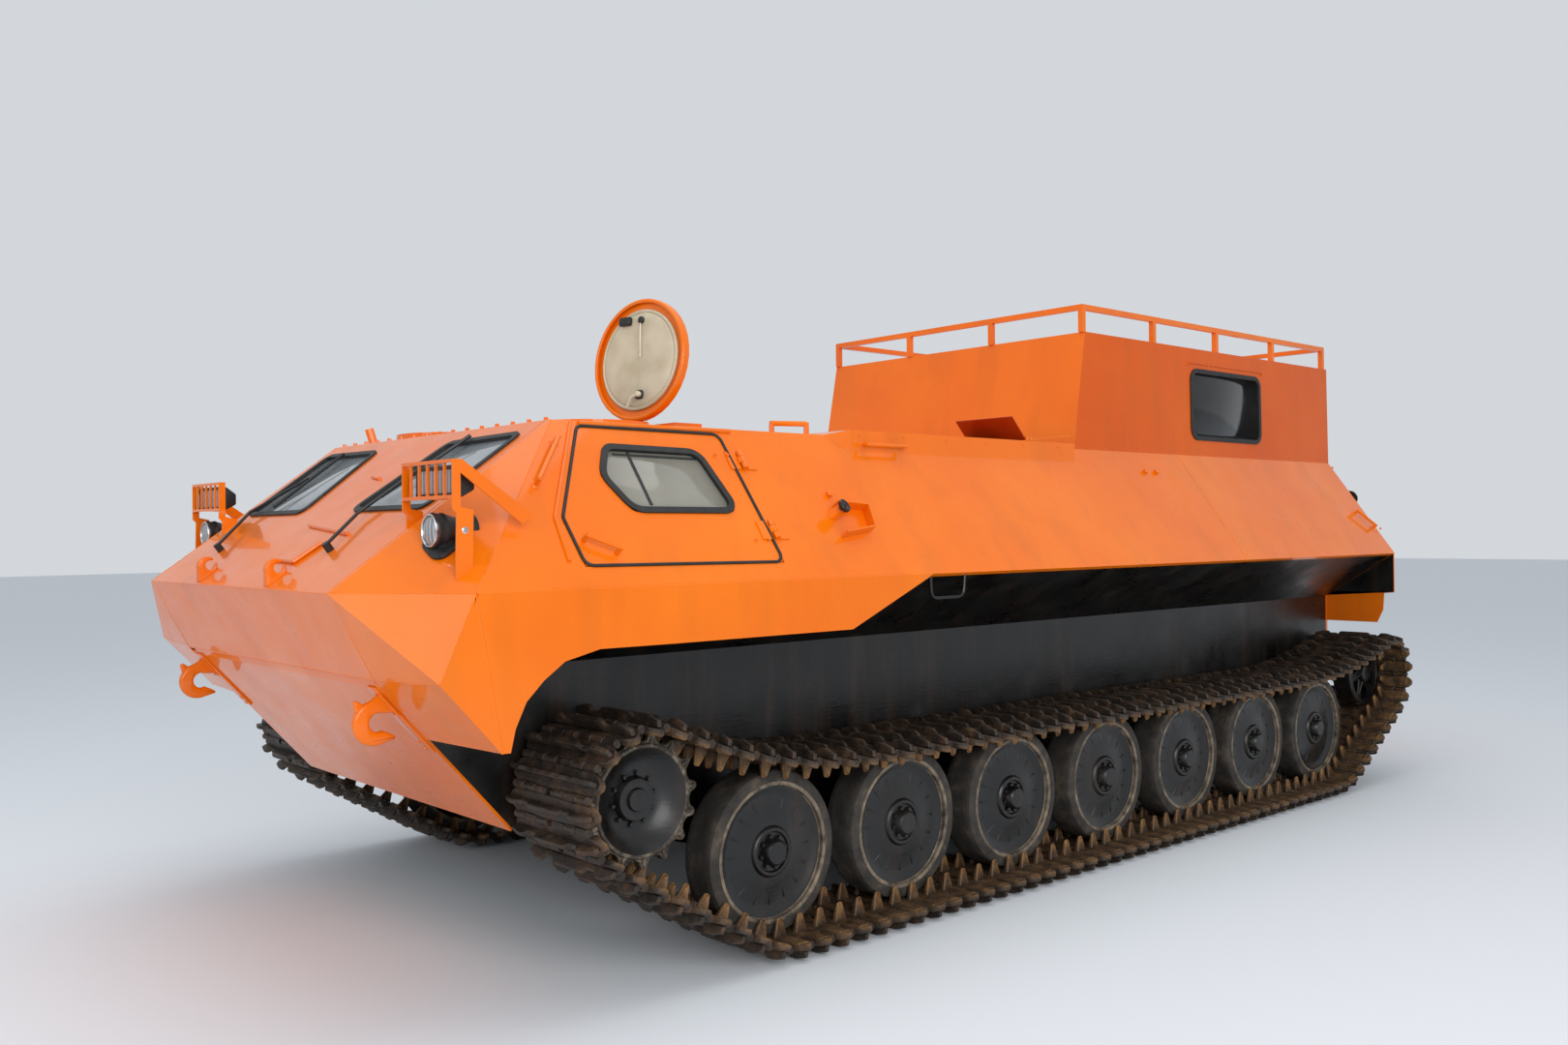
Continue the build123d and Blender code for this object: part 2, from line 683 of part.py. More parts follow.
def track_line():
    """The closed line of the track's pins: pieces that are straight runs or arcs.

    Each piece is (kind, start, end, centre, radius, start angle, end angle), taken in order from the
    front of the lower run, back under the wheels, up round the idler and forward over the top.
    """
    first = (WHEEL_FIRST, WHEEL_Z)
    last = (WHEEL_FIRST + WHEEL_SPACING * (WHEEL_COUNT - 1), WHEEL_Z)
    sprocket = (SPROCKET_STATION, SPROCKET_Z)
    idler = (IDLER_STATION, IDLER_Z)
    down = -math.pi / 2
    rear_ramp = external_tangent(last, WHEEL_PIN_R, idler, IDLER_PIN_R)
    front_ramp = external_tangent(sprocket, SPROCKET_PIN_R, first, WHEEL_PIN_R)
    idler_leave = math.pi / 2 + math.radians(IDLER_LEAVE)
    sprocket_meet = math.pi / 2 - math.radians(SPROCKET_LEAVE)
    pieces = []

    def on(centre, radius, angle):
        return (centre[0] + radius * math.cos(angle), centre[1] + radius * math.sin(angle))

    def straight(a, b):
        pieces.append(("line", a, b))

    def arc(centre, radius, a0, a1):
        pieces.append(("arc", centre, radius, a0, a1))

    straight(on(first, WHEEL_PIN_R, down), on(last, WHEEL_PIN_R, down))
    arc(last, WHEEL_PIN_R, down, rear_ramp)
    straight(on(last, WHEEL_PIN_R, rear_ramp), on(idler, IDLER_PIN_R, rear_ramp))
    arc(idler, IDLER_PIN_R, rear_ramp, idler_leave)
    # The slack top run sags in two arcs whose centres lie above it.
    leave = on(idler, IDLER_PIN_R, idler_leave)
    drop = leave[1] - TOP_RUN_Z
    radius = drop / (1 - math.cos(math.radians(IDLER_LEAVE)))
    foot = leave[0] - radius * math.sin(math.radians(IDLER_LEAVE))
    arc((foot, TOP_RUN_Z + radius), -radius, idler_leave, math.pi / 2)
    meet = on(sprocket, SPROCKET_PIN_R, sprocket_meet)
    drop2 = meet[1] - TOP_RUN_Z
    radius2 = drop2 / (1 - math.cos(math.radians(SPROCKET_LEAVE)))
    foot2 = meet[0] + radius2 * math.sin(math.radians(SPROCKET_LEAVE))
    straight((foot, TOP_RUN_Z), (foot2, TOP_RUN_Z))
    arc((foot2, TOP_RUN_Z + radius2), -radius2, math.pi / 2, sprocket_meet)
    arc(sprocket, SPROCKET_PIN_R, sprocket_meet, front_ramp + 2 * math.pi)
    straight(on(sprocket, SPROCKET_PIN_R, front_ramp), on(first, WHEEL_PIN_R, front_ramp))
    arc(first, WHEEL_PIN_R, front_ramp, down)
    return pieces


def piece_length(piece):
    if piece[0] == "line":
        return math.dist(piece[1], piece[2])
    return abs(piece[2] * (piece[4] - piece[3]))


def along(pieces, distance):
    """The point on the track's line at a distance along it, and the outward direction there."""
    for piece in pieces:
        length = piece_length(piece)
        if distance <= length:
            share = distance / length
            if piece[0] == "line":
                (x0, y0), (x1, y1) = piece[1], piece[2]
                point = (x0 + (x1 - x0) * share, y0 + (y1 - y0) * share)
                return point, ((y1 - y0) / length, -(x1 - x0) / length)
            _, centre, radius, a0, a1 = piece
            angle = a0 + (a1 - a0) * share
            out = (math.cos(angle), math.sin(angle))
            return (centre[0] + radius * out[0], centre[1] + radius * out[1]), out
        distance -= length
    return along(pieces, distance)


def track():
    """One track as a closed band, with a grouser standing out of each shoe."""
    pieces = track_line()
    total = sum(piece_length(p) for p in pieces)
    shoes = round(total / SHOE_PITCH)
    pitch = total / shoes
    outer, inner = [], []
    for i in range(shoes):
        for share, height in ((0.0, PIN_HEIGHT), (0.5, GROUSER_ROOT)):
            point, out = along(pieces, (i + share) * pitch)
            outer.append((point[0] + out[0] * height, point[1] + out[1] * height))
            inner.append((point[0] - out[0] * BAND_INNER, point[1] - out[1] * BAND_INNER))
    half = TRACK_WIDTH / 2
    outside = side_prism(outer, TRACK_X - half, TRACK_X + half)
    return outside - side_prism(inner, TRACK_X - half - 5, TRACK_X + half + 5)


def wheel_centres():
    return [WHEEL_FIRST + WHEEL_SPACING * i for i in range(WHEEL_COUNT)]


IDLER_GAP = 3.0
AXLE_R = 38.0
HUB_R = 75.0
HUB_REACH = 110.0
DISH_R = 226.0
DISH_X = 24.0
RIM_WALL = 22.0


def road_wheel(station):
    """A dished wheel with a wide rim, a cone that rises to the hub, and a hub cap."""
    half = TYRE_WIDTH / 2
    x, z, sides = TRACK_X, WHEEL_Z, WHEEL_SIDES
    shape = drum(RIM_R, x - half, x + half, station, z, sides)
    shape -= cone(DISH_R, RIM_R - RIM_WALL, x + DISH_X, x + half + 0.1, station, z, sides)
    shape += cone(DISH_R, HUB_R, x + DISH_X, x + half - 12, station, z, sides)
    return shape + drum(HUB_R, x + half - 12, x + HUB_REACH, station, z, sides)


def tyre(station):
    x0, x1 = TRACK_X - TYRE_WIDTH / 2, TRACK_X + TYRE_WIDTH / 2
    ring = drum(TYRE_R, x0, x1, station, WHEEL_Z, WHEEL_SIDES)
    return ring - drum(RIM_R, x0 - 5, x1 + 5, station, WHEEL_Z, WHEEL_SIDES)


ARM_LENGTH = 320.0
ARM_PIVOT_Z = 500.0
ARM_X = (HULL_X + 10.0, HULL_X + 60.0)
ARM_SIDES = 8


def swing_arm(station):
    """The trailing arm from its boss on the hull's side to the wheel's axle."""
    x0, x1 = ARM_X
    s0, s1 = station - ARM_LENGTH, station
    shape = drum(75, HULL_X, x1 + 10, s0, ARM_PIVOT_Z, ARM_SIDES)
    shape += side_prism([(s0, ARM_PIVOT_Z + 55), (s0, ARM_PIVOT_Z - 55), (s1, WHEEL_Z - 45),
                         (s1 + 45, WHEEL_Z), (s1, WHEEL_Z + 45)], x0, x1)
    return shape + drum(AXLE_R, x1, TRACK_X - TYRE_WIDTH / 2, station, WHEEL_Z, ARM_SIDES)


SPROCKET_TIP_GAP = 8.0
SPROCKET_TOOTH = 30.0
SPROCKET_RINGS = (-190.0, 150.0)
SPROCKET_RING_WIDTH = 40.0
SPROCKET_DISH = 65.0


def sprocket():
    """Two toothed rings on one drum, dished on its outer face, with a hub in the dish."""
    tip = SPROCKET_PIN_R - BAND_INNER - SPROCKET_TIP_GAP
    root = tip - SPROCKET_TOOTH
    points = []
    for i in range(SPROCKET_TEETH):
        for share, radius in ((0.0, tip), (0.16, tip), (0.34, root), (0.82, root)):
            a = 2 * math.pi * (i + share) / SPROCKET_TEETH
            points.append((SPROCKET_STATION + radius * math.cos(a), SPROCKET_Z + radius * math.sin(a)))
    inner, outer = (TRACK_X + reach for reach in SPROCKET_RINGS)
    face = outer + SPROCKET_RING_WIDTH
    centre = (SPROCKET_STATION, SPROCKET_Z, WHEEL_SIDES)
    shape = drum(170, inner, outer, *centre)
    for x in (inner, outer):
        shape += side_prism(points, x, x + SPROCKET_RING_WIDTH)
    shape -= cone(140, 190, face - SPROCKET_DISH, face + 0.1, *centre)
    return shape + drum(70, face - SPROCKET_DISH, face - 15, *centre)


IDLER_WIDTH = 120.0
IDLER_RIM = 34.0
IDLER_SPOKES = 6
IDLER_HUB_R = 62.0


def idler():
    """A spoked wheel that the track turns round at the rear."""
    radius = IDLER_PIN_R - BAND_INNER - IDLER_GAP
    half = IDLER_WIDTH / 2
    x, centre = TRACK_X, (IDLER_STATION, IDLER_Z, WHEEL_SIDES)
    shape = drum(radius, x - half, x + half, *centre)
    shape -= drum(radius - IDLER_RIM, x - half - 5, x + half + 5, *centre)
    shape += drum(IDLER_HUB_R, x - half - 15, x + half + 15, *centre)
    for i in range(IDLER_SPOKES):
        reach = radius - IDLER_RIM / 2 - IDLER_HUB_R / 2
        spoke = Pos(0, IDLER_HUB_R / 2 + reach / 2, 0) * Box(50, reach, 46)
        shape += Pos(at(x, IDLER_STATION, IDLER_Z)) * Rot(360.0 * i / IDLER_SPOKES, 0, 0) * spoke
    return shape


def final_drive():
    return drum(160, HULL_X, TRACK_X + SPROCKET_RINGS[0], SPROCKET_STATION, SPROCKET_Z, WHEEL_SIDES)


def idler_crank():
    reach = TRACK_X - IDLER_WIDTH / 2 - 15
    return drum(50, HULL_X, reach, IDLER_STATION, IDLER_Z, ARM_SIDES)


HATCH_BACK = Vector(-math.sin(math.radians(HATCH_TURN)), math.cos(math.radians(HATCH_TURN)), 0)
HATCH_AXIS = Vector(math.cos(math.radians(HATCH_TURN)), math.sin(math.radians(HATCH_TURN)), 0)
HATCH_MIDDLE = at(*HATCH_CENTRE, ROOF_Z)
HATCH_PIVOT = HATCH_MIDDLE + HATCH_BACK * HATCH_AXIS_OUT + Vector(0, 0, COAMING_RISE + HINGE_R)
LID_LIFT = COAMING_RISE + GAP
LID_TOP = 15.0
RIM_DEPTH = 16.0
LID_WALL = 8.0
LINING_DEPTH = 20.0
HATCH_HINGE_WIDTH = 120.0


def hatch_coaming():
    ring = pot(COAMING_R, 0.0, COAMING_RISE, HATCH_SIDES)
    return Pos(HATCH_MIDDLE) * (ring - pot(HATCH_HOLE_R, -1.0, COAMING_RISE + 1, HATCH_SIDES))


def hatch_lid():
    """The round lid as it lies closed: a flat top with a rim that turns down over the coaming."""
    foot = LID_LIFT - RIM_DEPTH
    lid = pot(HATCH_R, foot, LID_LIFT + LID_TOP, HATCH_SIDES)
    return Pos(HATCH_MIDDLE) * (lid - pot(HATCH_R - LID_WALL, foot - 1, LID_LIFT, HATCH_SIDES))


def hatch_lining():
    return Pos(HATCH_MIDDLE) * pot(HATCH_LINING_R, LID_LIFT - LINING_DEPTH, LID_LIFT, HATCH_SIDES)


def hatch_hinge():
    """The bracket with its pin, standing on the roof, and the strap that is fixed to the lid."""
    place = Plane(origin=HATCH_PIVOT, x_dir=HATCH_AXIS, z_dir=(0, 0, 1))
    third = HATCH_HINGE_WIDTH / 3
    drop = COAMING_RISE + HINGE_R
    fixed = Cylinder(PIN_R, HATCH_HINGE_WIDTH - 2, rotation=(0, 90, 0))
    for end in (-1, 1):
        fixed += Pos(end * third, 0, 0) * barrel(third - 2)
        fixed += Pos(end * third, -4, -drop) * Box(third - 2, 2 * HINGE_R - 8, drop,
                                                   align=(Align.CENTER, Align.CENTER, Align.MIN))
    rise = LID_LIFT + LID_TOP - drop
    strap = Pos(0, 0, rise) * Box(third - 2, 110, 8, align=(Align.CENTER, Align.MAX, Align.MIN))
    moving = barrel(third - 2) + strap - Cylinder(PIN_R + PIN_FIT, third + 10, rotation=(0, 90, 0))
    return place * fixed, place * moving


# Engine deck flaps: two plates hinged back to back, propped open
FLAP_X = (660.0, 1040.0)
FLAP_FRONT_HINGE = 3697.0
FLAP_REAR_HINGE = 3723.0
FLAP_FRONT_REACH = 155.0
FLAP_REAR_REACH = 365.0
FLAP_FRONT_OPEN = 46.0
FLAP_REAR_OPEN = 5.5
FLAP_PIN_R = 4.0
FLAP_BARREL_R = 8.0
FLAP_RISE = 14.0
FLAP_AXIS_Z = DECK_Z + FLAP_RISE


def flap(station, reach):
    """One flap as it lies closed, from its barrel to its free edge; reach is negative forwards."""
    x0, x1 = FLAP_X
    width = x1 - x0
    side = math.copysign(1, reach)
    tube = Rot(0, 90, 0) * pot(FLAP_BARREL_R, -width / 2, width / 2, BARREL_SIDES)
    plate = Pos(0, side * abs(reach) / 2, -FLAP_BARREL_R + SHEET / 2) * Box(width, abs(reach), SHEET)
    shape = tube + plate - Rot(0, 90, 0) * Cylinder(FLAP_PIN_R + PIN_FIT, width + 10)
    return Pos(at((x0 + x1) / 2, station, FLAP_AXIS_Z)) * shape


def flap_bracket(station):
    """The rod that a flap turns on, with a foot at each end."""
    x0, x1 = FLAP_X
    rod = Rot(0, 90, 0) * Cylinder(FLAP_PIN_R, x1 - x0 + 30)
    for end in (-1, 1):
        rod += Pos(end * ((x1 - x0) / 2 + 10), 0, 0) * (
            Box(10, 16, FLAP_RISE, align=(Align.CENTER, Align.CENTER, Align.MAX))
            + Rot(0, 90, 0) * pot(FLAP_BARREL_R, -5, 5, BARREL_SIDES))
    return Pos(at((x0 + x1) / 2, station, FLAP_AXIS_Z)) * rod


def flap_hole(station, reach):
    x0, x1 = FLAP_X
    near, far = sorted((station + math.copysign(12, reach), station + reach - math.copysign(15, reach)))
    return prism([(x0 + 12, near), (x1 - 12, near), (x1 - 12, far), (x0 + 12, far)], PLAN_VIEW,
                 DECK_Z - 20, DECK_Z + 20)


# Roof rack
RAIL = 30.0
RACK_RISE = 139.0
RACK_Z = BODY_TOP_Z + RACK_RISE
RACK_FRONT = 4300.0
RACK_STEP = 703.0
RACK_BAYS = 4
RACK_X = 985.0 - RAIL / 2
RACK_MID_X = 328.0


def bar(x, station, z, size):
    return Pos(at(x, station, z)) * Box(*size)


def rack():
    """Square tube rails on short posts round the body's roof."""
    rear = RACK_FRONT + RACK_STEP * RACK_BAYS
    length = rear - RACK_FRONT
    shape = bar(0, RACK_FRONT, RACK_Z, (2 * RACK_X + RAIL, RAIL, RAIL))
    shape += bar(0, rear, RACK_Z, (2 * RACK_X + RAIL, RAIL, RAIL))
    high = RACK_RISE
    for side in (-1, 1):
        shape += bar(side * RACK_X, RACK_FRONT + length / 2, RACK_Z, (RAIL, length, RAIL))
        for i in range(RACK_BAYS + 1):
            shape += bar(side * RACK_X, RACK_FRONT + RACK_STEP * i, BODY_TOP_Z + high / 2,
                         (RAIL, RAIL, high))
        for station in (RACK_FRONT, rear):
            shape += bar(side * RACK_MID_X, station, BODY_TOP_Z + high / 2, (RAIL, RAIL, high))
    return shape


# Front hooks
HOOK_X = 380.0
HOOK_THICK = 30.0
HOOK_FRONT = 12.0
HOOK_LENGTH = 76.0
HOOK_CENTRE = (47.0, 1556.0)
HOOK_R = 39.0
HOOK_THROAT_R = 19.0
TOW_THICK = 34.0
TOW_X = HULL_X - TOW_THICK / 2 - 1
TOW_CENTRE = (180.0, 1022.0)
TOW_R = 78.0
TOW_THROAT_R = 38.0
TOW_FLANGE = (1150.0, 900.0)
TOW_FLANGE_WIDTH = 70.0


def lifting_hook():
    """An upright forged hook on the glacis: one arm curls over its throat, a horn stands behind it."""
    glacis = HULL["glacis"]
    x, (station, z) = HOOK_X, HOOK_CENTRE
    back = HOOK_FRONT + HOOK_LENGTH
    outline = [(HOOK_FRONT, glacis.height(x, HOOK_FRONT))]
    outline += arc(HOOK_CENTRE, HOOK_R, 190, 75, 8)
    outline += [(station + HOOK_R / 2, z + HOOK_R * 0.8)]
    outline += arc((station + 6, z), HOOK_THROAT_R, 90, 290, 8)
    outline += [(back - 12, z + 4), (back - 2, z + 8), (back, z - 8), (back - 8, glacis.height(x, back - 8))]
    return side_prism(outline, x - HOOK_THICK / 2, x + HOOK_THICK / 2)


def bow_station(z):
    """The station of the bow plate's face at a height."""
    share = (z - NOSE_FOOT[1]) / (BOW_BEND[1] - NOSE_FOOT[1])
    return NOSE_FOOT[0] + (BOW_BEND[0] - NOSE_FOOT[0]) * share


def on_bow(z, proud):
    """A point of station and height, off the bow plate's face."""
    run, fall = BOW_BEND[0] - NOSE_FOOT[0], BOW_BEND[1] - NOSE_FOOT[1]
    length = math.hypot(run, fall)
    return bow_station(z) + fall / length * proud, z - run / length * proud


def tow_hook():
    """A thick C-shaped hook on a flange, at the outer edge of the bow plate, open to the rear."""
    station, z = TOW_CENTRE
    outline = [on_bow(z + 103, 0)]
    outline += arc(TOW_CENTRE, TOW_R, 100, 290, 12)
    outline += [(station + TOW_R, z - 57)]
    outline += arc((station + 8, z), TOW_THROAT_R, 300, 60, 8)
    outline += [on_bow(z + 28, 0)]
    horn = [(station - 34, z + 66), (station - 78, z + 94), (station - 66, z + 44)]
    x0, x1 = TOW_X - TOW_THICK / 2, TOW_X + TOW_THICK / 2
    flange = [on_bow(TOW_FLANGE[0], 0), on_bow(TOW_FLANGE[1], 0), on_bow(TOW_FLANGE[1], PLATE),
              on_bow(TOW_FLANGE[0], PLATE)]
    shape = side_prism(outline, x0, x1) + side_prism(horn, x0 + 5, x1 - 5)
    return shape + side_prism(flange, x1 - TOW_FLANGE_WIDTH, x1)


# The stirrup plate beside each tow hook: its outer and inner half width, height and thickness
STIRRUP_X = 1030.0
STIRRUP_HALF = 46.0
STIRRUP_SLOT = 20.0
STIRRUP_TOP = 1150.0
STIRRUP_DROP = 125.0
STIRRUP_THICK = 12.0


def stirrup():
    """A plate with a keyhole slot, welded flat on the front of the fender beside the tow hook."""
    plane = Plane(origin=FENDER.point, x_dir=(1, 0, 0), z_dir=FENDER.normal)
    x = STIRRUP_X - NOSE_TOP_X
    top = STIRRUP_TOP - NOSE_FOOT[1]
    slot = [(x - STIRRUP_SLOT, top - STIRRUP_DROP - 10), (x + STIRRUP_SLOT, top - STIRRUP_DROP - 10)]
    slot += arc((x, top - STIRRUP_DROP / 2), STIRRUP_SLOT, 0, 180, 6)
    plate = [(x - STIRRUP_HALF, top), (x + STIRRUP_HALF, top), (x + STIRRUP_HALF, top - STIRRUP_DROP),
             (x - STIRRUP_HALF, top - STIRRUP_DROP)]
    shape = prism(plate, plane, 0, STIRRUP_THICK)
    return shape - prism(slot, plane, -5, STIRRUP_THICK + 5)


# Lamps on the left front quarter
LAMP_X = 1150.0
LAMP_STATION = 290.0
LAMP_Z = 1690.0
LAMP_R = 64.0
LAMP_LENS_R = 56.0
LAMP_TAIL_R = 36.0
LAMP_SIDES = 16
# The guard's two straps, and the station and heights of its grille
GUARD_X = (950.0, 1320.0)
GUARD_STATION = 285.0
GUARD_FOOT = 1300.0
GUARD_LOW = 1796.0
GUARD_TOP = 1928.0
GUARD_STRAP = 6.0
GUARD_RAIL = 12.0
GUARD_BARS = 5
GUARD_BAR = 9.0
WORK_LAMP_X = (1010.0, 1290.0)


def front_plane(x, station, z):
    return Plane(origin=at(x, station, z), x_dir=(1, 0, 0), z_dir=(0, -1, 0))


def headlamp():
    """A round lamp in a rubber cup that tapers back into the sloped plate, and its lens."""
    quarter = HULL["quarter_left"]
    face = front_plane(LAMP_X, LAMP_STATION, LAMP_Z)
    cup = prism(flats(LAMP_R, LAMP_SIDES), face, -50, 0)
    ends = []
    for radius, depth in ((LAMP_R, -50), (LAMP_TAIL_R, -150)):
        points = [face.from_local_coords(Vector(u, v, depth)) for u, v in flats(radius, LAMP_SIDES)]
        ends.append(make_face(Polyline(*points, close=True)))
    foot = at(LAMP_X, LAMP_STATION + 40, quarter.height(LAMP_X, LAMP_STATION + 40))
    base = Plane(origin=foot, z_dir=quarter.normal) * Box(150, 170, 14,
                                                          align=(Align.CENTER, Align.CENTER, Align.MIN))
    body = outside(cup + loft(ends, ruled=True), quarter) + base
    lens = prism(flats(LAMP_LENS_R, LAMP_SIDES), face, 0, 10)
    return body, lens


def lamp_guard():
    """A grille between two bent straps that stand on the hull, with a brace to the rear."""
    quarter, glacis = HULL["quarter_left"], HULL["glacis"]
    front, back = GUARD_STATION, GUARD_STATION + 30
    strap = [(front + 5, GUARD_FOOT), (front + 67, GUARD_FOOT), (front + 77, GUARD_LOW - 38),
             (back, GUARD_LOW - 28), (back, GUARD_TOP), (front, GUARD_TOP), (front, GUARD_LOW - 36),
             (front + 15, GUARD_LOW - 51)]
    half = GUARD_STRAP / 2
    inner, outer = GUARD_X
    shape = outside(side_prism(strap, outer - half, outer + half), quarter)
    shape += outside(side_prism(strap, inner - half, inner + half), glacis)
    brace = [(back - 20, GUARD_TOP), (back + 5, GUARD_TOP), (back + 290, GUARD_LOW - 65),
             (back + 265, GUARD_LOW - 110), (back, GUARD_TOP - 45)]
    shape += outside(side_prism(brace, outer - half, outer + half), quarter)
    middle, width = (inner + outer) / 2, outer - inner + GUARD_STRAP
    for z in (GUARD_LOW, GUARD_TOP - GUARD_RAIL):
        shape += bar(middle, front + 5, z + GUARD_RAIL / 2, (width, 10, GUARD_RAIL))
    for i in range(GUARD_BARS):
        x = inner + (outer - inner) * (i + 1) / (GUARD_BARS + 1)
        shape += bar(x, front + 5, (GUARD_LOW + GUARD_TOP) / 2, (GUARD_BAR, 8, GUARD_TOP - GUARD_LOW))
    ledge = bar(middle, front + 35, GUARD_LOW + 3, (60, 60, 6))
    return shape + ledge


def work_lamp():
    """A flat rectangular lamp behind the grille, standing on the guard's ledge."""
    x0, x1 = WORK_LAMP_X
    low, high = GUARD_LOW + 6, GUARD_TOP - 18
    front = GUARD_STATION + 22
    outline = [(front, low), (front + 34, low), (front + 80, low + 25), (front + 80, high - 35),
               (front + 34, high), (front, high)]
    return side_prism(outline, x0, x1)


# Wipers: the pivot, the elbow, then the blade's lower and upper end, as distances from the middle
# and stations on the glacis
WIPERS = {"left": ((545, 193), (452, 356), (432, 452), (528, 790)),
          "right": ((-619, 186), (-795, 389), (-614, 426), (-658, 769))}
WIPER_OUT = 28.0


def wiper(pivot, elbow, low, high):
    """A pivot post, a bent arm and a blade that lies just over the glass."""
    middle = ((low[0] + high[0]) / 2, (low[1] + high[1]) / 2)
    post = rod(on_glacis(*pivot, 0), on_glacis(*pivot, WIPER_OUT + 8), 16)
    arm = bent_rod([on_glacis(*point, WIPER_OUT) for point in (pivot, elbow, middle)], 7)
    return post + arm + rod(on_glacis(*low, WIPER_OUT - 8), on_glacis(*high, WIPER_OUT - 8), 8)


# Small fixed fittings on the hull, as stations and heights on the sloped side
HANDLE_OUT = 38.0
PILLAR_HANDLE = ((836, 2014), (687, 1851))
DOOR_HANDLE = ((800, 1648), (920, 1600))
GUTTER = ((946, 2103), (717, 1732), (710, 1576))
DRIP_RAIL = ((977, 2098), (1730, 2098))
REAR_HANDLE = ((6990, 1750), (7110, 1650))
FILLER = (2100, 1738)
FILLER_R = 26.0
FILLER_GUARD = ((2120, 1775), (2290, 1762), (2268, 1672), (2085, 1650))
SLOPE_BOSSES = ((2130, 1830), (4732, 1990), (4844, 1990))
DECK_HANDLE = (2475, 2737, 2068)


def slope_handle(ends):
    """A bent rod handle that stands off the sloped side."""
    (s0, z0), (s1, z1) = ends
    return bent_rod([on_slope(s0, z0, -1), on_slope(s0, z0, HANDLE_OUT), on_slope(s1, z1, HANDLE_OUT),
                     on_slope(s1, z1, -1)], 9)


def slope_bead(points, radius):
    """A bead that lies along the sloped side."""
    return outside(bent_rod([on_slope(s, z, radius * 0.5) for s, z in points], radius),
                   HULL["side_left"])


def filler():
    """The fuel filler's neck, which leans to the rear, inside its strap guard."""
    side = HULL["side_left"]
    neck = rod(on_slope(FILLER[0] - 20, FILLER[1], -30), on_slope(FILLER[0] + 30, FILLER[1] + 8, 70),
               FILLER_R)
    guard = prism(strip(slope_outline(FILLER_GUARD), 7), SLOPE_SIDE, 0, 48)
    return [outside(neck, side), guard]


def slope_bosses():
    return [rod(on_slope(s, z, 0), on_slope(s, z, 18), 15) for s, z in SLOPE_BOSSES]


def deck_handle():
    s0, s1, z = DECK_HANDLE
    path = [at(DECK_X, s0, z), at(DECK_X + HANDLE_OUT, s0, z), at(DECK_X + HANDLE_OUT, s1, z),
            at(DECK_X, s1, z)]
    return bent_rod(path, 9)


def glacis_trim():
    """A drip ledge under the windshields, a cable pipe and a clamp strap, all on the glacis."""
    ledge = bent_rod([on_glacis(35, 322, 5), on_glacis(518, 274, 5)], 9)
    clamp = bent_rod([on_glacis(0, 604, 4), on_glacis(110, 586, 4)], 8)
    pipe = bent_rod([on_glacis(121, 140, 8), on_glacis(371, 129, 8), on_glacis(401, 227, 8)], 9)
    return [outside(shape, HULL["glacis"]) for shape in (ledge, clamp, pipe)]


def roof_trim():
    """A tube loop in front of the engine deck, a stub pipe and a low vent box, on the roof."""
    loop = bent_rod([at(900, 2060, ROOF_Z), at(900, 2060, ROOF_Z + 48), at(960, 2215, ROOF_Z + 48),
                     at(960, 2215, ROOF_Z)], 12)
    stub = rod(at(-880, 1010, ROOF_Z), at(-900, 990, ROOF_Z + 90), 22)
    box = bar(650, 1720, ROOF_Z + 22, (170, 150, 44))
    return [loop, outside(stub, HULL["roof"]), box]


# Inside
BULKHEAD_STATIONS = (2170.0, 4150.0)
ENGINE_SIZE = (860.0, 1200.0, 1000.0)
ENGINE_MIDDLE = (0.0, 3150.0)
SEAT_X = 520.0
SEAT_STATION = 1250.0
SEAT_Z = 1150.0


def bulkhead(station):
    """A cross wall that fills the hull's section."""
    plate = Pos(at(0, station, 0)) * Box(FAR, SHEET, FAR)
    upper = plate
    for name in ("side_left", "side_right", "roof"):
        upper = HULL[name].keep_inside(upper, WALL)
    for name in ("floor_left", "floor_right"):
        upper = HULL[name].keep_inside(upper, PLATE + 3)
    fold = Plane(origin=at(0, 0, FOLD_Z + TUB_RISE + 2), z_dir=(0, 0, 1))
    upper = split(upper, bisect_by=fold, keep=Keep.TOP)
    low = BELLY_Z + PLATE
    high = FOLD_Z + TUB_RISE + 2
    inside = HULL_X - PLATE
    return upper + bar(0, station, (low + high) / 2, (2 * inside, SHEET, high - low))


def engine_block():
    """The engine as one plain mass on two bearers."""
    wide, long, high = ENGINE_SIZE
    x, station = ENGINE_MIDDLE
    foot = BELLY_Z + PLATE
    shape = bar(x, station, foot + 130 + high / 2, (wide, long, high))
    for side in (-1, 1):
        shape += bar(x + side * (wide / 2 - 60), station, foot + 65, (80, long, 130))
    return shape


BENCH_X = (560.0, 930.0)
BENCH_STATIONS = (4300.0, 6800.0)
BENCH_TOP = 880.0
FLOOR_TOP = 470.0
LEVER_X = (430.0, 610.0)
LEVER_STATION = 1080.0
SHELF = [(0, 1430), (760, 1430), (760, 1490), (640, 1520), (600, 1480), (0, 1480)]
SHELF_X = 860.0


def load_floor():
    """The load space's ribbed floor plate, with a long locker along each side to sit on."""
    s0, s1 = BENCH_STATIONS
    middle, length = (s0 + s1) / 2, s1 - s0
    floor = BELLY_Z + PLATE
    shape = bar(0, middle, (floor + FLOOR_TOP) / 2, (2 * BENCH_X[1], length, FLOOR_TOP - floor))
    width = BENCH_X[1] - BENCH_X[0]
    for side in (-1, 1):
        box = bar(side * (BENCH_X[0] + width / 2), middle, (FLOOR_TOP + BENCH_TOP) / 2,
                  (width, length, BENCH_TOP - FLOOR_TOP))
        hollow = bar(side * (BENCH_X[0] + width / 2 + SHEET), middle, (FLOOR_TOP + BENCH_TOP) / 2 - SHEET,
                     (width, length + 10, BENCH_TOP - FLOOR_TOP))
        shape += box - hollow
    return shape


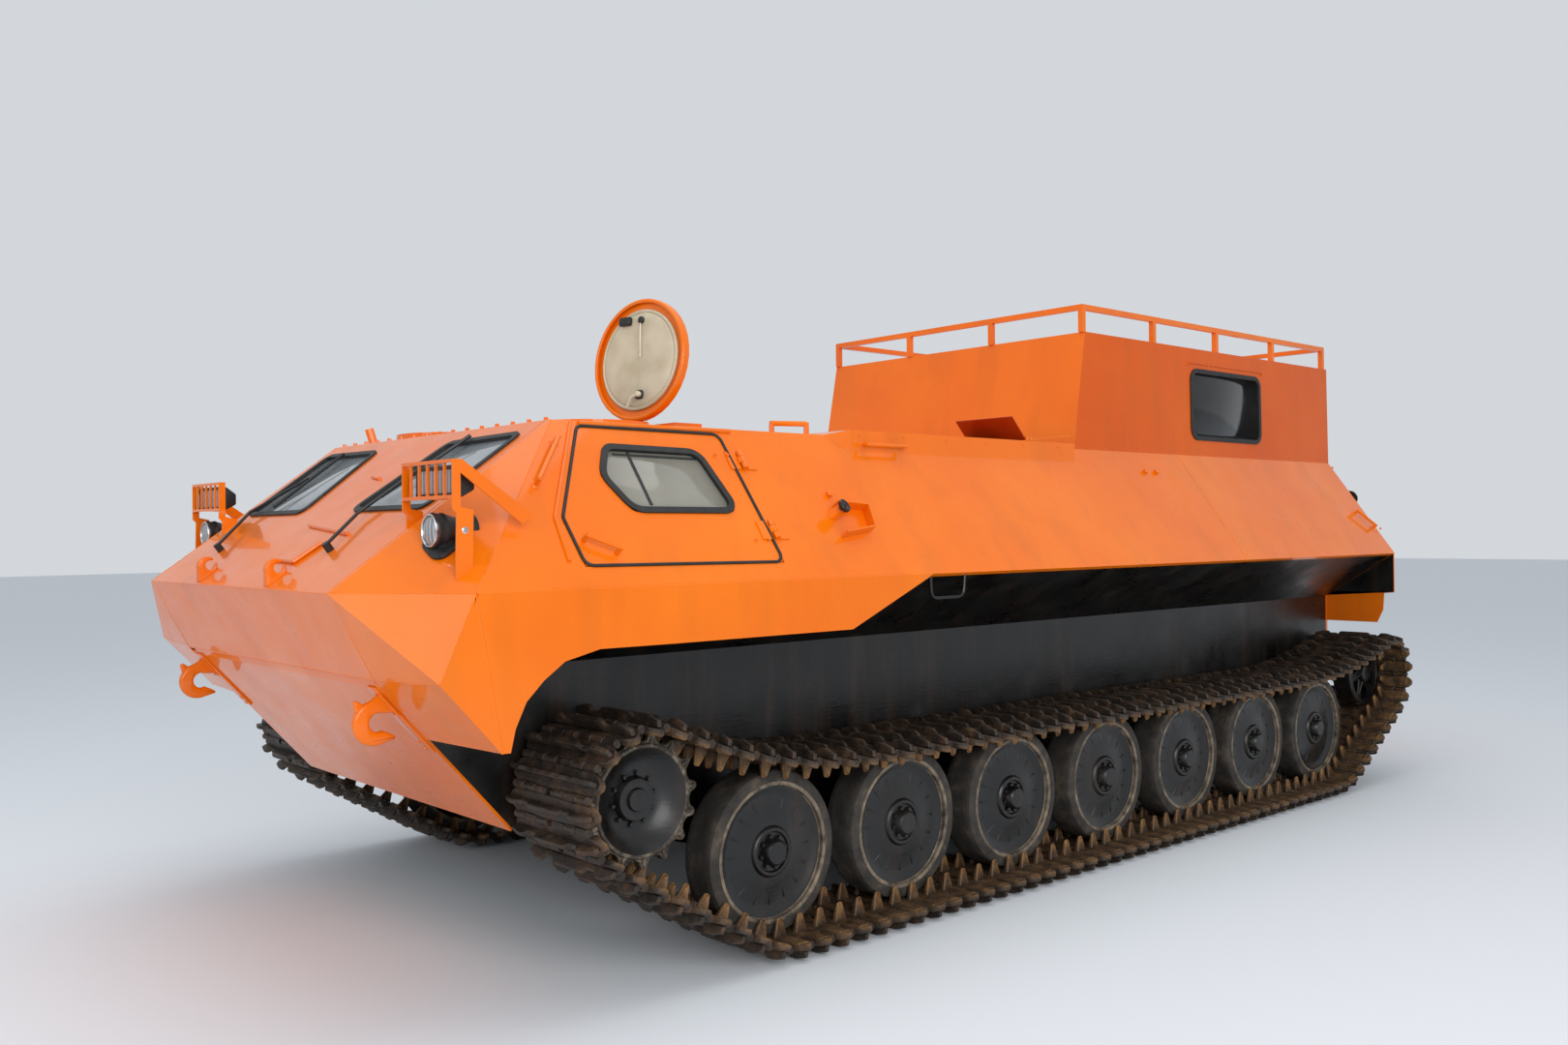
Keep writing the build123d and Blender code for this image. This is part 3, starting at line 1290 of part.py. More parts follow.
def dashboard():
    """The shelf under the windshields, from the nose back, cut to the plates over it."""
    shelf = side_prism(SHELF, -SHELF_X, SHELF_X)
    return HULL["nose"].keep_inside(HULL["glacis"].keep_inside(shelf, WALL), PLATE)


def steering_levers():
    floor = BELLY_Z + PLATE
    path = [(LEVER_STATION, floor), (LEVER_STATION, floor + 60), (LEVER_STATION - 120, 760),
            (LEVER_STATION - 95, 1150)]
    return [bent_rod([at(x, station, z) for station, z in path], 13) for x in LEVER_X]


def seat(x, station):
    """A crew seat on its pedestal, facing forwards."""
    foot = BELLY_Z + PLATE
    shape = bar(x, station, (foot + SEAT_Z - 60) / 2, (300, 300, SEAT_Z - 60 - foot))
    shape += bar(x, station, SEAT_Z, (460, 460, 120))
    return shape + bar(x, station + 255, SEAT_Z + 270, (460, 110, 660))


# Rear
HITCH_Z = 900.0
HITCH_PIN_R = 20.0
HITCH_PIN_INSET = 42.0
HITCH_EAR = (90.0, 22.0)
HITCH_EAR_RISE = 42.0
HITCH_PLATE = (260.0, 16.0, 180.0)
FLAP_FOOT = [(HULL_X, 1010), (1307, 1010), (1348, 1097), (1356, 1210), (CHINE_X, 1217),
             (CHINE_X, CHINE_Z), (HULL_X, FOLD_Z)]
REAR_FLAP_STATION = 7184.0


def rear_flap():
    """The plate that closes the space over the track at the rear, on the left."""
    shape = prism(FLAP_FOOT, FRONT_VIEW, -REAR_FLAP_STATION - SHEET, -REAR_FLAP_STATION)
    under = Plane(origin=at(CHINE_X, 0, CHINE_Z), z_dir=HULL["floor_left"].normal)
    return split(shape, bisect_by=under, keep=Keep.TOP)


def hitch():
    """A clevis at the middle of the rear wall, with an upright pin hole."""
    shape = bar(0, REAR_STATION + HITCH_PLATE[1] / 2, HITCH_Z, HITCH_PLATE)
    width, thick = HITCH_EAR
    for side in (-1, 1):
        shape += bar(0, REAR_STATION + HITCH_LENGTH / 2, HITCH_Z + side * HITCH_EAR_RISE,
                     (width, HITCH_LENGTH, thick))
    hole = Pos(at(0, OVERALL_LENGTH - HITCH_PIN_INSET, HITCH_Z)) * Cylinder(HITCH_PIN_R, HITCH_PLATE[0])
    return shape - hole


def turned(shape, origin, direction, angle):
    return shape.rotate(Axis(origin, direction), angle)


def write_hull():
    door_hole, leaf, seal, pane, fixed, moving = side_door()
    shield_hole, _, _ = window(glacis_outline(WINDSHIELD), GLACIS, 40, WALL)
    write("hull_tub", tub())
    write("bow_plate", bow_plate())
    write("nose_plate", nose_plate())
    write("front_corner_plates", both(front_corner() + fender()))
    write("skirts", both(skirt()))
    write("sponson_floors", both(sponson_floor()))
    write("glacis_plate", glacis_plate() - shield_hole - other_side(shield_hole))
    write("front_quarter_plates", both(quarter_plate()))
    side = side_panel() - door_hole
    write("side_panels", both(side))
    write("hull_roof", roof_plate())
    wall, rear_leaf = rear_wall()
    write("rear_wall", wall)
    write("rear_flaps", both(rear_flap()))
    write("rear_hitch", hitch())
    leaf = leaf + moving[0] + moving[1] + slope_handle(DOOR_HANDLE)
    write("side_door_left", leaf)
    write("side_door_right", other_side(leaf))
    write("door_seal_left", seal)
    write("door_seal_right", other_side(seal))
    write("door_window_left", pane)
    write("door_window_right", other_side(pane))
    rear_fixed, rear_moving = rear_hinges()
    write("door_hinges", *[both(s) for s in fixed + rear_fixed])
    rear_leaf = rear_leaf + rear_moving[0] + rear_moving[1]
    write("rear_door_left", rear_leaf)
    write("rear_door_right", other_side(rear_leaf))


def write_body():
    _, shield_seal, shield_pane = window(glacis_outline(WINDSHIELD), GLACIS, 40, WALL)
    hole, seal, pane = window([(s, z - ROOF_Z) for s, z in SIDE_WINDOW], BODY_SIDE, 60, WALL)
    base = Plane(origin=at(0, 0, ROOF_Z), z_dir=(0, 0, 1))
    plates = {name: split(panel(BODY, name), bisect_by=base, keep=Keep.TOP)
              for name in ("front", "rear", "left", "roof")}
    write("body_front", plates["front"])
    write("body_rear", plates["rear"])
    write("body_roof", plates["roof"])
    write("body_sides", both(plates["left"] - hole))
    write("fixed_window_seals", both(seal), both(shield_seal))
    write("fixed_windows", both(pane), both(shield_pane))
    write("roof_rack", rack())


def write_roof():
    write("hatch_coamings", both(hatch_coaming()))
    fixed, moving = hatch_hinge()
    write("hatch_hinges", both(fixed))
    closed = [hatch_lid() + moving, hatch_lining()]
    opened = [turned(shape, HATCH_PIVOT, HATCH_AXIS, -HATCH_OPEN) for shape in closed]
    write("round_hatch", opened[0])
    write("round_hatch_lining", opened[1])
    write("second_hatch", other_side(closed[0]))
    top = deck() - flap_hole(FLAP_FRONT_HINGE, -FLAP_FRONT_REACH)
    write("engine_deck", top - flap_hole(FLAP_REAR_HINGE, FLAP_REAR_REACH))
    write("deck_flap_rods", flap_bracket(FLAP_FRONT_HINGE), flap_bracket(FLAP_REAR_HINGE))
    front = flap(FLAP_FRONT_HINGE, -FLAP_FRONT_REACH)
    rear = flap(FLAP_REAR_HINGE, FLAP_REAR_REACH)
    write("deck_flap_front", turned(front, at(0, FLAP_FRONT_HINGE, FLAP_AXIS_Z), (1, 0, 0),
                                    -FLAP_FRONT_OPEN))
    write("deck_flap_rear", turned(rear, at(0, FLAP_REAR_HINGE, FLAP_AXIS_Z), (1, 0, 0),
                                   FLAP_REAR_OPEN))


def write_front():
    write("lifting_hooks", both(lifting_hook()))
    write("tow_hooks", both(tow_hook()), both(stirrup()))
    body, lens = headlamp()
    write("headlamps", both(body))
    write("headlamp_lenses", both(lens))
    write("lamp_guards", both(lamp_guard()))
    write("work_lamps", both(work_lamp()))
    write("wipers", [wiper(*WIPERS[side]) for side in WIPERS])
    both_sides = [slope_handle(PILLAR_HANDLE), slope_bead(GUTTER, 7), slope_bead(DRIP_RAIL, 9),
                  slope_handle(REAR_HANDLE)]
    left_only = filler() + slope_bosses() + [deck_handle()]
    write("hull_fittings", [both(outside(shape, HULL["side_left"])) for shape in both_sides],
          left_only, glacis_trim(), roof_trim())


def write_inside():
    write("bulkheads", [bulkhead(station) for station in BULKHEAD_STATIONS])
    write("engine_block", engine_block())
    write("crew_seats", both(seat(SEAT_X, SEAT_STATION)))
    write("load_floor", load_floor())
    write("dashboard", dashboard(), steering_levers())


def write_running_gear():
    band = track()
    write("track_left", band)
    write("track_right", other_side(band))
    stations = wheel_centres()
    write("road_wheels", [s for st in stations for s in both(road_wheel(st))])
    write("road_wheel_tyres", [s for st in stations for s in both(tyre(st))])
    write("swing_arms", [s for st in stations for s in both(swing_arm(st))])
    write("sprockets", both(sprocket()))
    write("final_drives", both(final_drive()))
    write("idlers", both(idler()))
    write("idler_cranks", both(idler_crank()))


def main():
    os.makedirs("parts", exist_ok=True)
    write_hull()
    write_body()
    write_roof()
    write_front()
    write_inside()
    write_running_gear()


main()
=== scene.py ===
import json
import math
import random

import bmesh
import bpy
from mathutils import Matrix, Vector


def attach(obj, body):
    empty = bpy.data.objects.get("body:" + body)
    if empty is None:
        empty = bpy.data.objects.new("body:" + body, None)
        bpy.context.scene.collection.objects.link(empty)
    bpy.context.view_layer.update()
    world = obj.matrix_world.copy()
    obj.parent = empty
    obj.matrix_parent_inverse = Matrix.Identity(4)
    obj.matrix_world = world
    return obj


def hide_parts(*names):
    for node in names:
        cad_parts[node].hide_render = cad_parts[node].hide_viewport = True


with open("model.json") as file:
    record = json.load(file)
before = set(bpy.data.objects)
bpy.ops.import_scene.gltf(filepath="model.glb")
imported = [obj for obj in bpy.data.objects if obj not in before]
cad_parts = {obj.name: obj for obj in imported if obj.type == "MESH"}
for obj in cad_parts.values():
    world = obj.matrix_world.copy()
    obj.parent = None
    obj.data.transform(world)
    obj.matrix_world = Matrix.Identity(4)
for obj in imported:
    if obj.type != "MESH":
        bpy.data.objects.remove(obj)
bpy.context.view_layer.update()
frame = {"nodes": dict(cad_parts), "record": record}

MM = 0.001
OUT, BACK, UP = Vector((1, 0, 0)), Vector((0, 1, 0)), Vector((0, 0, 1))

# The vehicle stands on z = 0 with its front towards -Y and its left side towards +X.
# Lengths along it are stations, measured back from the tip of the nose.
NOSE_Y = -3.66

# Camera, as it stood for the photograph
CAMERA_PLACE = (5.270, -5.420, 1.678)
CAMERA_YAW, CAMERA_PITCH, CAMERA_ROLL = 48.338, 0.355, -0.591
CAMERA_LENS, CAMERA_SENSOR = 29.9, 36.0

# Studio lights: name, place, the point it faces, its diameter in metres and its power in watts
STUDIO_LAMPS = [
    ("side_lamp", (10.5, -5.5, 4.5), (0.0, -0.8, 1.2), 7.0, 600.0),
    ("front_lamp", (1.0, -11.0, 4.0), (0.0, -3.0, 1.2), 5.0, 110.0),
    ("top_lamp", (0.5, -1.0, 9.5), (0.0, 0.0, 1.0), 9.0, 260.0),
]


def at(x, station, z):
    """A point in metres, from its distance to the left of the middle, station and height in mm."""
    return Vector((x * MM, NOSE_Y + station * MM, z * MM))


def rectangle(a0, b0, a1, b1):
    """The four corners between two opposite ones, in order."""
    return [(a0, b0), (a1, b0), (a1, b1), (a0, b1)]


def colour(hex_value):
    """A linear colour from its sRGB hex value."""
    out = []
    for shift in (16, 8, 0):
        c = ((hex_value >> shift) & 255) / 255
        out.append(c / 12.92 if c <= 0.04045 else ((c + 0.055) / 1.055) ** 2.4)
    return (*out, 1.0)


def feed(tree, node, inputs):
    """Set a node's inputs to values, or link sockets to them."""
    for name, value in inputs.items():
        if isinstance(value, bpy.types.NodeSocket):
            tree.links.new(value, node.inputs[name])
        else:
            node.inputs[name].default_value = value
    return node


def add(tree, kind, settings=None, inputs=None):
    """Add a node. Settings are its properties; inputs are values, or sockets to link from."""
    made = tree.nodes.new(kind)
    for name, value in (settings or {}).items():
        setattr(made, name, value)
    return feed(tree, made, inputs or {})


# A wave texture repeats about once in 6.3 units
WAVE_TURN = 6.3


class Finish:
    """A material in the making: its surface shader, with patterns over the object's coordinates."""

    def __init__(self, name):
        self.material = bpy.data.materials.new(name)
        self.material.use_nodes = True
        self.tree = self.material.node_tree
        self.place = add(self.tree, "ShaderNodeTexCoord").outputs["Object"]

    def put(self, inputs):
        """Set or link the shader's own sockets, and give the material."""
        feed(self.tree, self.tree.nodes["Principled BSDF"], inputs)
        return self.material

    def noise(self, size, detail=2.0, rough=0.5, squeeze=None):
        """Cloudy noise with features of about size mm, squeezed along the axes if asked."""
        place = self.place
        if squeeze:
            place = add(self.tree, "ShaderNodeMapping", None,
                        {"Vector": place, "Scale": squeeze}).outputs["Vector"]
        return add(self.tree, "ShaderNodeTexNoise", None,
                   {"Vector": place, "Scale": 1 / (size * MM), "Detail": detail,
                    "Roughness": rough}).outputs["Fac"]

    def cells(self, size):
        """Cells of about size mm, as the distance from each cell's middle."""
        return add(self.tree, "ShaderNodeTexVoronoi", None,
                   {"Vector": self.place, "Scale": 1 / (size * MM)}).outputs["Distance"]

    def bands(self, direction, size, distortion):
        """Parallel bands size mm apart."""
        return add(self.tree, "ShaderNodeTexWave", {"wave_type": "BANDS", "bands_direction": direction},
                   {"Vector": self.place, "Scale": 1 / (size * MM) / WAVE_TURN,
                    "Distortion": distortion}).outputs["Color"]

    def ramp(self, source, *stops):
        """A ramp over a value: stops are places with an sRGB hex colour, or a grey as a float."""
        made = add(self.tree, "ShaderNodeValToRGB", None, {"Fac": source})
        elements = made.color_ramp.elements
        while len(elements) < len(stops):
            elements.new(0.5)
        for element, (where, tint) in zip(elements, stops):
            element.position = where
            element.color = (tint, tint, tint, 1.0) if isinstance(tint, float) else colour(tint)
        return made.outputs["Color"]

    def spread(self, source, low, high, end=0.7):
        """A pattern's range from 0.3 to end, spread from low to high."""
        return add(self.tree, "ShaderNodeMapRange", None,
                   {"Value": source, "From Min": 0.3, "From Max": end, "To Min": low,
                    "To Max": high}).outputs["Result"]

    def mix(self, share, first, second):
        """Two colours mixed by a share."""
        return add(self.tree, "ShaderNodeMix", {"data_type": "RGBA"},
                   {0: share, 6: first, 7: second}).outputs[2]

    def bump(self, source, strength, depth, under=None):
        """The normal over a relief of depth mm, laid over another one if given."""
        inputs = {"Height": source, "Strength": strength, "Distance": depth * MM}
        if under:
            inputs["Normal"] = under
        return add(self.tree, "ShaderNodeBump", None, inputs).outputs["Normal"]


def orange_enamel(name, deep, middle, bright, gloss):
    """Alkyd enamel, sprayed by hand on rolled plate: it is glossy, slightly rippled, and the plate
    under it waves, so that the pale sky breaks up in it; road dirt dulls it in soft streaks."""
    made = Finish(name)
    coats = made.ramp(made.noise(700, 3.0, 0.55), (0.30, deep), (0.55, middle), (0.80, bright))
    dirt = made.ramp(made.noise(1400, 2.0, squeeze=(7.0, 7.0, 1.0)), (0.50, 0.0), (0.80, 0.22))
    waves = made.noise(420, 1.5)
    # The orange-peel grain of about 3 mm is drawn at 30 mm: finer grain breaks up into specks.
    peel = made.bump(made.noise(30, 0.0), 0.08, 1.0)
    # The clear top of the enamel mirrors the hooks and lamps; it waves a little with the plate.
    return made.put({"Base Color": made.mix(dirt, coats, colour(0x9C5418)),
                     "Roughness": made.spread(made.noise(160), 0.24, 0.40),
                     "Normal": made.bump(waves, 0.35, 12.0, peel),
                     "Specular IOR Level": gloss * 0.3,
                     "Coat Weight": gloss * 1.6,
                     "Coat Roughness": 0.05,
                     "Coat Normal": made.bump(waves, 0.10, 12.0)})


def black_enamel():
    """Black bitumen enamel, brushed on the lower hull: satin, patchy, with brown runs down it."""
    made = Finish("black_bitumen_enamel")
    patches = made.noise(260, 5.0, 0.6)
    tint = made.ramp(patches, (0.35, 0x0B0A0A), (0.62, 0x131211), (0.80, 0x2A2623))
    runs = made.ramp(made.noise(1100, 6.0, 0.65, (9.0, 9.0, 0.8)), (0.50, 0.0), (0.72, 0.55))
    strokes = made.noise(60, 4.0, squeeze=(1.0, 1.0, 5.0))
    return made.put({"Base Color": made.mix(runs, tint, colour(0x3A2A1E)),
                     "Roughness": made.spread(patches, 0.20, 0.48, 0.75),
                     "Normal": made.bump(strokes, 0.30, 2.0)})


def black_rubber():
    """Extruded EPDM rubber, matt with a slightly greasy shine on its edges."""
    made = Finish("extruded_rubber")
    mottle = made.noise(40, 4.0)
    return made.put({"Base Color": made.ramp(mottle, (0.35, 0x121212), (0.7, 0x242323)),
                     "Roughness": 0.55, "Normal": made.bump(mottle, 0.2, 1.0)})


def tyre_rubber():
    """Solid vulcanised tyre rubber, grey with dried mud that has worked into it."""
    made = Finish("solid_tyre_rubber")
    return made.put({"Base Color": made.ramp(made.noise(90, 6.0, 0.65), (0.34, 0x24211E),
                                             (0.55, 0x3A342E), (0.74, 0x5E5142)),
                     "Roughness": 0.8, "Normal": made.bump(made.noise(14, 5.0), 0.6, 4.0)})


def track_steel():
    """Forged manganese steel: brown rust all over, dried mud in the hollows, bright where it rubs."""
    made = Finish("forged_track_steel")
    rust = made.noise(70, 7.0, 0.68)
    dark = made.ramp(rust, (0.30, 0x1C1815), (0.48, 0x30271F), (0.62, 0x4C3828), (0.80, 0x7C5C3E))
    tan = made.ramp(rust, (0.32, 0x4E3620), (0.50, 0x7E5A33), (0.70, 0xA27A4A))
    mark = add(made.tree, "ShaderNodeAttribute", {"attribute_name": "horn"})
    return made.put({"Base Color": made.mix(mark.outputs["Fac"], dark, tan),
                     "Metallic": 0.25, "Roughness": made.spread(rust, 0.36, 0.75),
                     "Normal": made.bump(made.noise(12, 6.0), 0.7, 4.0)})


def window_glass(name, low, high, clear):
    """Tempered glass with a dusty film over a base colour, and behind it the pale or the dark inside; on the
    windshields the pale base colour is a painted reflection of the sky.
    """
    made = Finish(name)
    film = made.noise(260, 3.0)
    return made.put({"Base Color": made.ramp(film, (0.35, low), (0.70, high)),
                     "Roughness": made.spread(film, 0.02, 0.14),
                     "Transmission Weight": clear, "IOR": 1.52})


def dark_iron():
    """Cast and forged iron under old black paint, oily and dusty."""
    made = Finish("painted_cast_iron")
    return made.put({"Base Color": made.ramp(made.noise(55, 6.0, 0.6), (0.35, 0x161514),
                                             (0.6, 0x262320), (0.78, 0x4A3B2E)),
                     "Roughness": 0.48, "Normal": made.bump(made.noise(8, 4.0), 0.35, 1.5)})


def black_plastic():
    """Injection-moulded ABS with a fine grain: even black with a soft sheen."""
    made = Finish("moulded_abs")
    grain = made.noise(5, 2.0)
    return made.put({"Base Color": made.ramp(grain, (0.3, 0x101010), (0.7, 0x1C1C1C)),
                     "Roughness": 0.42, "Normal": made.bump(grain, 0.25, 0.5)})


def beige_vinyl():
    """Vinyl leathercloth stretched over a foam disc: soft beige with shallow creases and grime."""
    made = Finish("vinyl_leathercloth")
    return made.put({"Base Color": made.ramp(made.noise(120, 5.0), (0.30, 0xB8AA8E),
                                             (0.55, 0xC8BBA0), (0.78, 0xD0C4AB)),
                     "Roughness": 0.5, "Normal": made.bump(made.cells(7), 0.2, 1.0)})


def seat_cloth():
    """Woven polyester seat cloth: dark, matt, with a plain weave drawn at 6 mm so that it shows."""
    made = Finish("woven_polyester")
    weave = made.bands("DIAGONAL", 6, 0.4)
    return made.put({"Base Color": made.ramp(weave, (0.2, 0x1E1D20), (0.8, 0x38363C)),
                     "Roughness": 0.9, "Sheen Weight": 0.3, "Normal": made.bump(weave, 0.4, 1.0)})


def worn_rim():
    """The rim's raised edge, rubbed bare by grit: dull steel with tan mud dried on it."""
    made = Finish("worn_rim_steel")
    return made.put({"Base Color": made.ramp(made.noise(60, 6.0, 0.6), (0.32, 0x3A332C),
                                             (0.48, 0x6E6152), (0.66, 0x94836E), (0.80, 0xA6977F)),
                     "Metallic": 0.3, "Roughness": 0.5,
                     "Normal": made.bump(made.noise(10, 4.0), 0.4, 1.5)})


def worn_steel():
    """Cast sprocket steel, polished on the teeth by the track and dirty between them."""
    made = Finish("polished_cast_steel")
    wear = made.noise(45, 7.0, 0.65)
    return made.put({"Base Color": made.ramp(wear, (0.32, 0x1F1B18), (0.5, 0x4B4238), (0.68, 0x8A7C6A)),
                     "Metallic": 0.6, "Roughness": made.spread(wear, 0.5, 0.34),
                     "Normal": made.bump(made.noise(9, 5.0), 0.5, 2.0)})


def chrome():
    """Chromed steel with a faint haze and dust in it: bright, but not a perfect mirror."""
    made = Finish("hazed_chrome")
    haze = made.noise(30, 4.0)
    return made.put({"Base Color": made.ramp(haze, (0.3, 0xB9BCC0), (0.7, 0xDDDFE2)),
                     "Roughness": made.ramp(haze, (0.3, 0.12), (0.75, 0.34)), "Metallic": 1.0})


def lamp_glass():
    """Pressed lamp glass: milky with dust, with narrow upright flutes, and along them pale and grey stripes
    in the base colour: painted highlights where the flutes catch the light.
    """
    made = Finish("pressed_lamp_glass")
    flutes_and_glints = made.bands("X", 11, 0.0)
    # Pale and grey stripes in the base colour along the flutes: painted highlights
    return made.put({"Base Color": made.ramp(flutes_and_glints, (0.2, 0x8E9294), (0.8, 0xC9CCCC)),
                     "Roughness": 0.14, "Transmission Weight": 0.35,
                     "Normal": made.bump(flutes_and_glints, 0.5, 2.0)})


def ivory_enamel(name, low, high):
    """Old pale enamel, a little yellowed and scuffed."""
    made = Finish(name)
    wear = made.noise(22, 5.0)
    return made.put({"Base Color": made.ramp(wear, (0.3, low), (0.7, high)),
                     "Roughness": made.ramp(wear, (0.3, 0.3), (0.8, 0.55))})


def red_glass():
    """Moulded red lens: deep red, glossy, with fine prisms in it."""
    made = Finish("moulded_red_lens")
    prisms = made.cells(8)
    return made.put({"Base Color": made.ramp(prisms, (0.1, 0x6E0A08), (0.6, 0xA8160E)),
                     "Roughness": 0.15, "Normal": made.bump(prisms, 0.4, 1.0)})


CHROME = chrome()
RED_GLASS = red_glass()
LAMP_GLASS = lamp_glass()
IVORY = ivory_enamel("yellowed_ivory_enamel", 0xC9C0A6, 0xE4DCC6)
THREAD = ivory_enamel("waxed_linen_thread", 0x9A8B6C, 0xB8A988)
ORANGE = orange_enamel("orange_alkyd_enamel", 0xE66A02, 0xEC7203, 0xF07A06, 0.36)
# A darker copy of the orange enamel: painted shade, for the body's upright sides and rear, which stand less
# lit than the sloped sides
SHADED_ORANGE = orange_enamel("deep_orange_alkyd_enamel", 0xD25400, 0xD85A00, 0xDE6202, 0.22)
# A dark red copy of the orange enamel: painted shade, the colour of the raised deck flap's face turned away
# from the light, laid over the whole flap
SHADED_FLAP_ORANGE = orange_enamel("dark_orange_alkyd_enamel", 0x9C2E06, 0xA83408, 0xB43C0A, 0.22)
WORN_RIM = worn_rim()
WORN_STEEL = worn_steel()

# The finish of each material slot named in the record
SLOT_FINISH = {
    "orange_paint": ORANGE,
    "black_paint": black_enamel(),
    "black_rubber": black_rubber(),
    "window_glass": window_glass("tempered_glass", 0x8A9A98, 0xA9B4B2, 0.75),
    "dark_iron": dark_iron(),
    "black_plastic": black_plastic(),
    "tyre_rubber": tyre_rubber(),
    "track_steel": track_steel(),
    "seat_cloth": seat_cloth(),
    "beige_lining": beige_vinyl(),
}

# The glass by window: the windshields' pale base colour is a painted reflection of the sky; the doors hold
# the pale lining behind them
WINDOW_FINISH = {"windshield": window_glass("windshield_glass", 0x8E9396, 0xA8ADB0, 0.12),
                 "door_window": window_glass("door_glass", 0x8A867A, 0x9E9A8C, 0.20),
                 "body_window": window_glass("tinted_glass", 0x2A2A29, 0x454442, 0.70)}

# Nodes painted a darker orange than the rest of their slot: painted shade, for the body's upright sides and
# rear and for the front deck flap
SHADE_PAINTED_FINISH = {"body_sides": SHADED_ORANGE, "body_rear": SHADED_ORANGE, "deck_flap_front": SHADED_FLAP_ORANGE}


def finish_nodes():
    """Give every CAD node the finish of its slot."""
    for entry in frame["record"]["subparts"]:
        slots = frame["nodes"][entry["node"]].data.materials
        slots.clear()
        slots.append(SHADE_PAINTED_FINISH.get(entry["node"], SLOT_FINISH[entry["material_slot"]]))


# Edges bent by more than this are bevelled; points closer than this, in metres, become one.
SHARP_EDGE = math.radians(20)
WELD_GAP = 0.00002


# Modelling helpers. Sizes come in mm and every mesh is made at its place, in metres.
def only(piece):
    """Select one piece alone and make it active."""
    bpy.ops.object.select_all(action="DESELECT")
    piece.select_set(True)
    bpy.context.view_layer.objects.active = piece


def edit(piece):
    """Open one piece for editing, with all of it selected."""
    only(piece)
    bpy.ops.object.mode_set(mode="EDIT")
    bpy.ops.mesh.select_all(action="SELECT")


def close(piece):
    """Close the open piece."""
    bpy.ops.object.mode_set(mode="OBJECT")
    return piece


def turn_out():
    """Turn all normals of the open piece out."""
    bpy.ops.mesh.select_all(action="SELECT")
    bpy.ops.mesh.normals_make_consistent(inside=False)


def pull(move):
    """Extrude all of the open piece by a vector, and turn its normals out."""
    bpy.ops.mesh.select_all(action="SELECT")
    bpy.ops.mesh.extrude_region_move(TRANSFORM_OT_translate={"value": tuple(move)})
    turn_out()


def soften(bevel, segments):
    """Bevel the sharp edges of the open piece."""
    bpy.ops.mesh.select_all(action="DESELECT")
    bpy.ops.mesh.edges_select_sharp(sharpness=SHARP_EDGE)
    bpy.ops.mesh.bevel(offset=bevel * MM, segments=segments, affect="EDGES")


def ring_of(name, points, fill="NOTHING"):
    """A primitive circle whose corners are moved to the given points."""
    bpy.ops.object.select_all(action="DESELECT")
    bpy.ops.mesh.primitive_circle_add(vertices=len(points), radius=1.0, fill_type=fill)
    piece = bpy.context.object
    piece.name = name
    for vertex, point in zip(piece.data.vertices, points):
        vertex.co = point
    return piece


def cube(name, size=1.0):
    """A primitive cube, to be reshaped."""
    bpy.ops.object.select_all(action="DESELECT")
    bpy.ops.mesh.primitive_cube_add(size=size)
    bpy.context.object.name = name
    return bpy.context.object


def plate(name, outline, thick, bevel=0.0, segments=2):
    """A plate: a filled outline, extruded by the vector thick, with its edges bevelled."""
    piece = ring_of(name, outline, "NGON")
    edit(piece)
    pull(thick)
    if bevel:
        soften(bevel, segments)
    return close(piece)


def ring_plate(name, outer, inner, thick, bevel=2.0):
    """A plate with a hole: two loops of the same count, bridged, extruded and bevelled."""
    piece = join(name, [ring_of(name, outer), ring_of(name, inner)])
    edit(piece)
    bpy.ops.mesh.bridge_edge_loops()
    pull(thick)
    soften(bevel, 1)
    return close(piece)


def turned(name, section, centre, axis=OUT, up=UP, steps=48):
    """A turned part: a closed half section of (reach, radius) pairs, spun about its axis."""
    axis, up, centre = Vector(axis).normalized(), Vector(up).normalized(), Vector(centre)
    piece = ring_of(name, [centre + axis * (reach * MM) + up * (radius * MM) for reach, radius in section])
    edit(piece)
    bpy.ops.mesh.spin(steps=steps, angle=math.tau, center=centre, axis=axis)
    bpy.ops.mesh.select_all(action="SELECT")
    bpy.ops.mesh.remove_doubles(threshold=WELD_GAP)
    turn_out()
    return close(piece)


def box(name, centre, size, bevel=3.0, segments=2):
    """A block with bevelled edges, from its middle and its size in mm."""
    piece = cube(name)
    for vertex in piece.data.vertices:
        vertex.co = Vector(centre) + Vector(c * l * MM for c, l in zip(vertex.co, size))
    edit(piece)
    bpy.ops.mesh.bevel(offset=bevel * MM, segments=segments, affect="EDGES")
    return close(piece)


def bend(points, radius, steps=4):
    """A path in metres whose corners are rounded to a radius in mm."""
    out = [points[0]]
    for before, corner, after in zip(points, points[1:], points[2:]):
        to, away = (before - corner), (after - corner)
        cut = min(radius * MM, to.length * 0.45, away.length * 0.45)
        a, b = corner + to.normalized() * cut, corner + away.normalized() * cut
        for i in range(steps + 1):
            t = i / steps
            out.append(a * (1 - t) ** 2 + corner * (2 * t * (1 - t)) + b * t ** 2)
    return out + [points[-1]]


def rod(name, points, radius, sides=2):
    """A round rod along a path: the path's edges made a curve, given a round section and meshed."""
    piece = ring_of(name, points)
    edit(piece)
    mesh = bmesh.from_edit_mesh(piece.data)
    mesh.edges.ensure_lookup_table()
    mesh.verts.ensure_lookup_table()
    last = mesh.verts[len(points) - 1]
    closing = [e for e in mesh.edges if last in e.verts and mesh.verts[0] in e.verts]
    bmesh.ops.delete(mesh, geom=closing, context="EDGES")
    bmesh.update_edit_mesh(piece.data)
    close(piece)
    bpy.ops.object.convert(target="CURVE")
    piece.data.bevel_depth = radius * MM
    piece.data.bevel_resolution = sides
    piece.data.use_fill_caps = True
    bpy.ops.object.convert(target="MESH")
    edit(piece)
    turn_out()
    return close(piece)


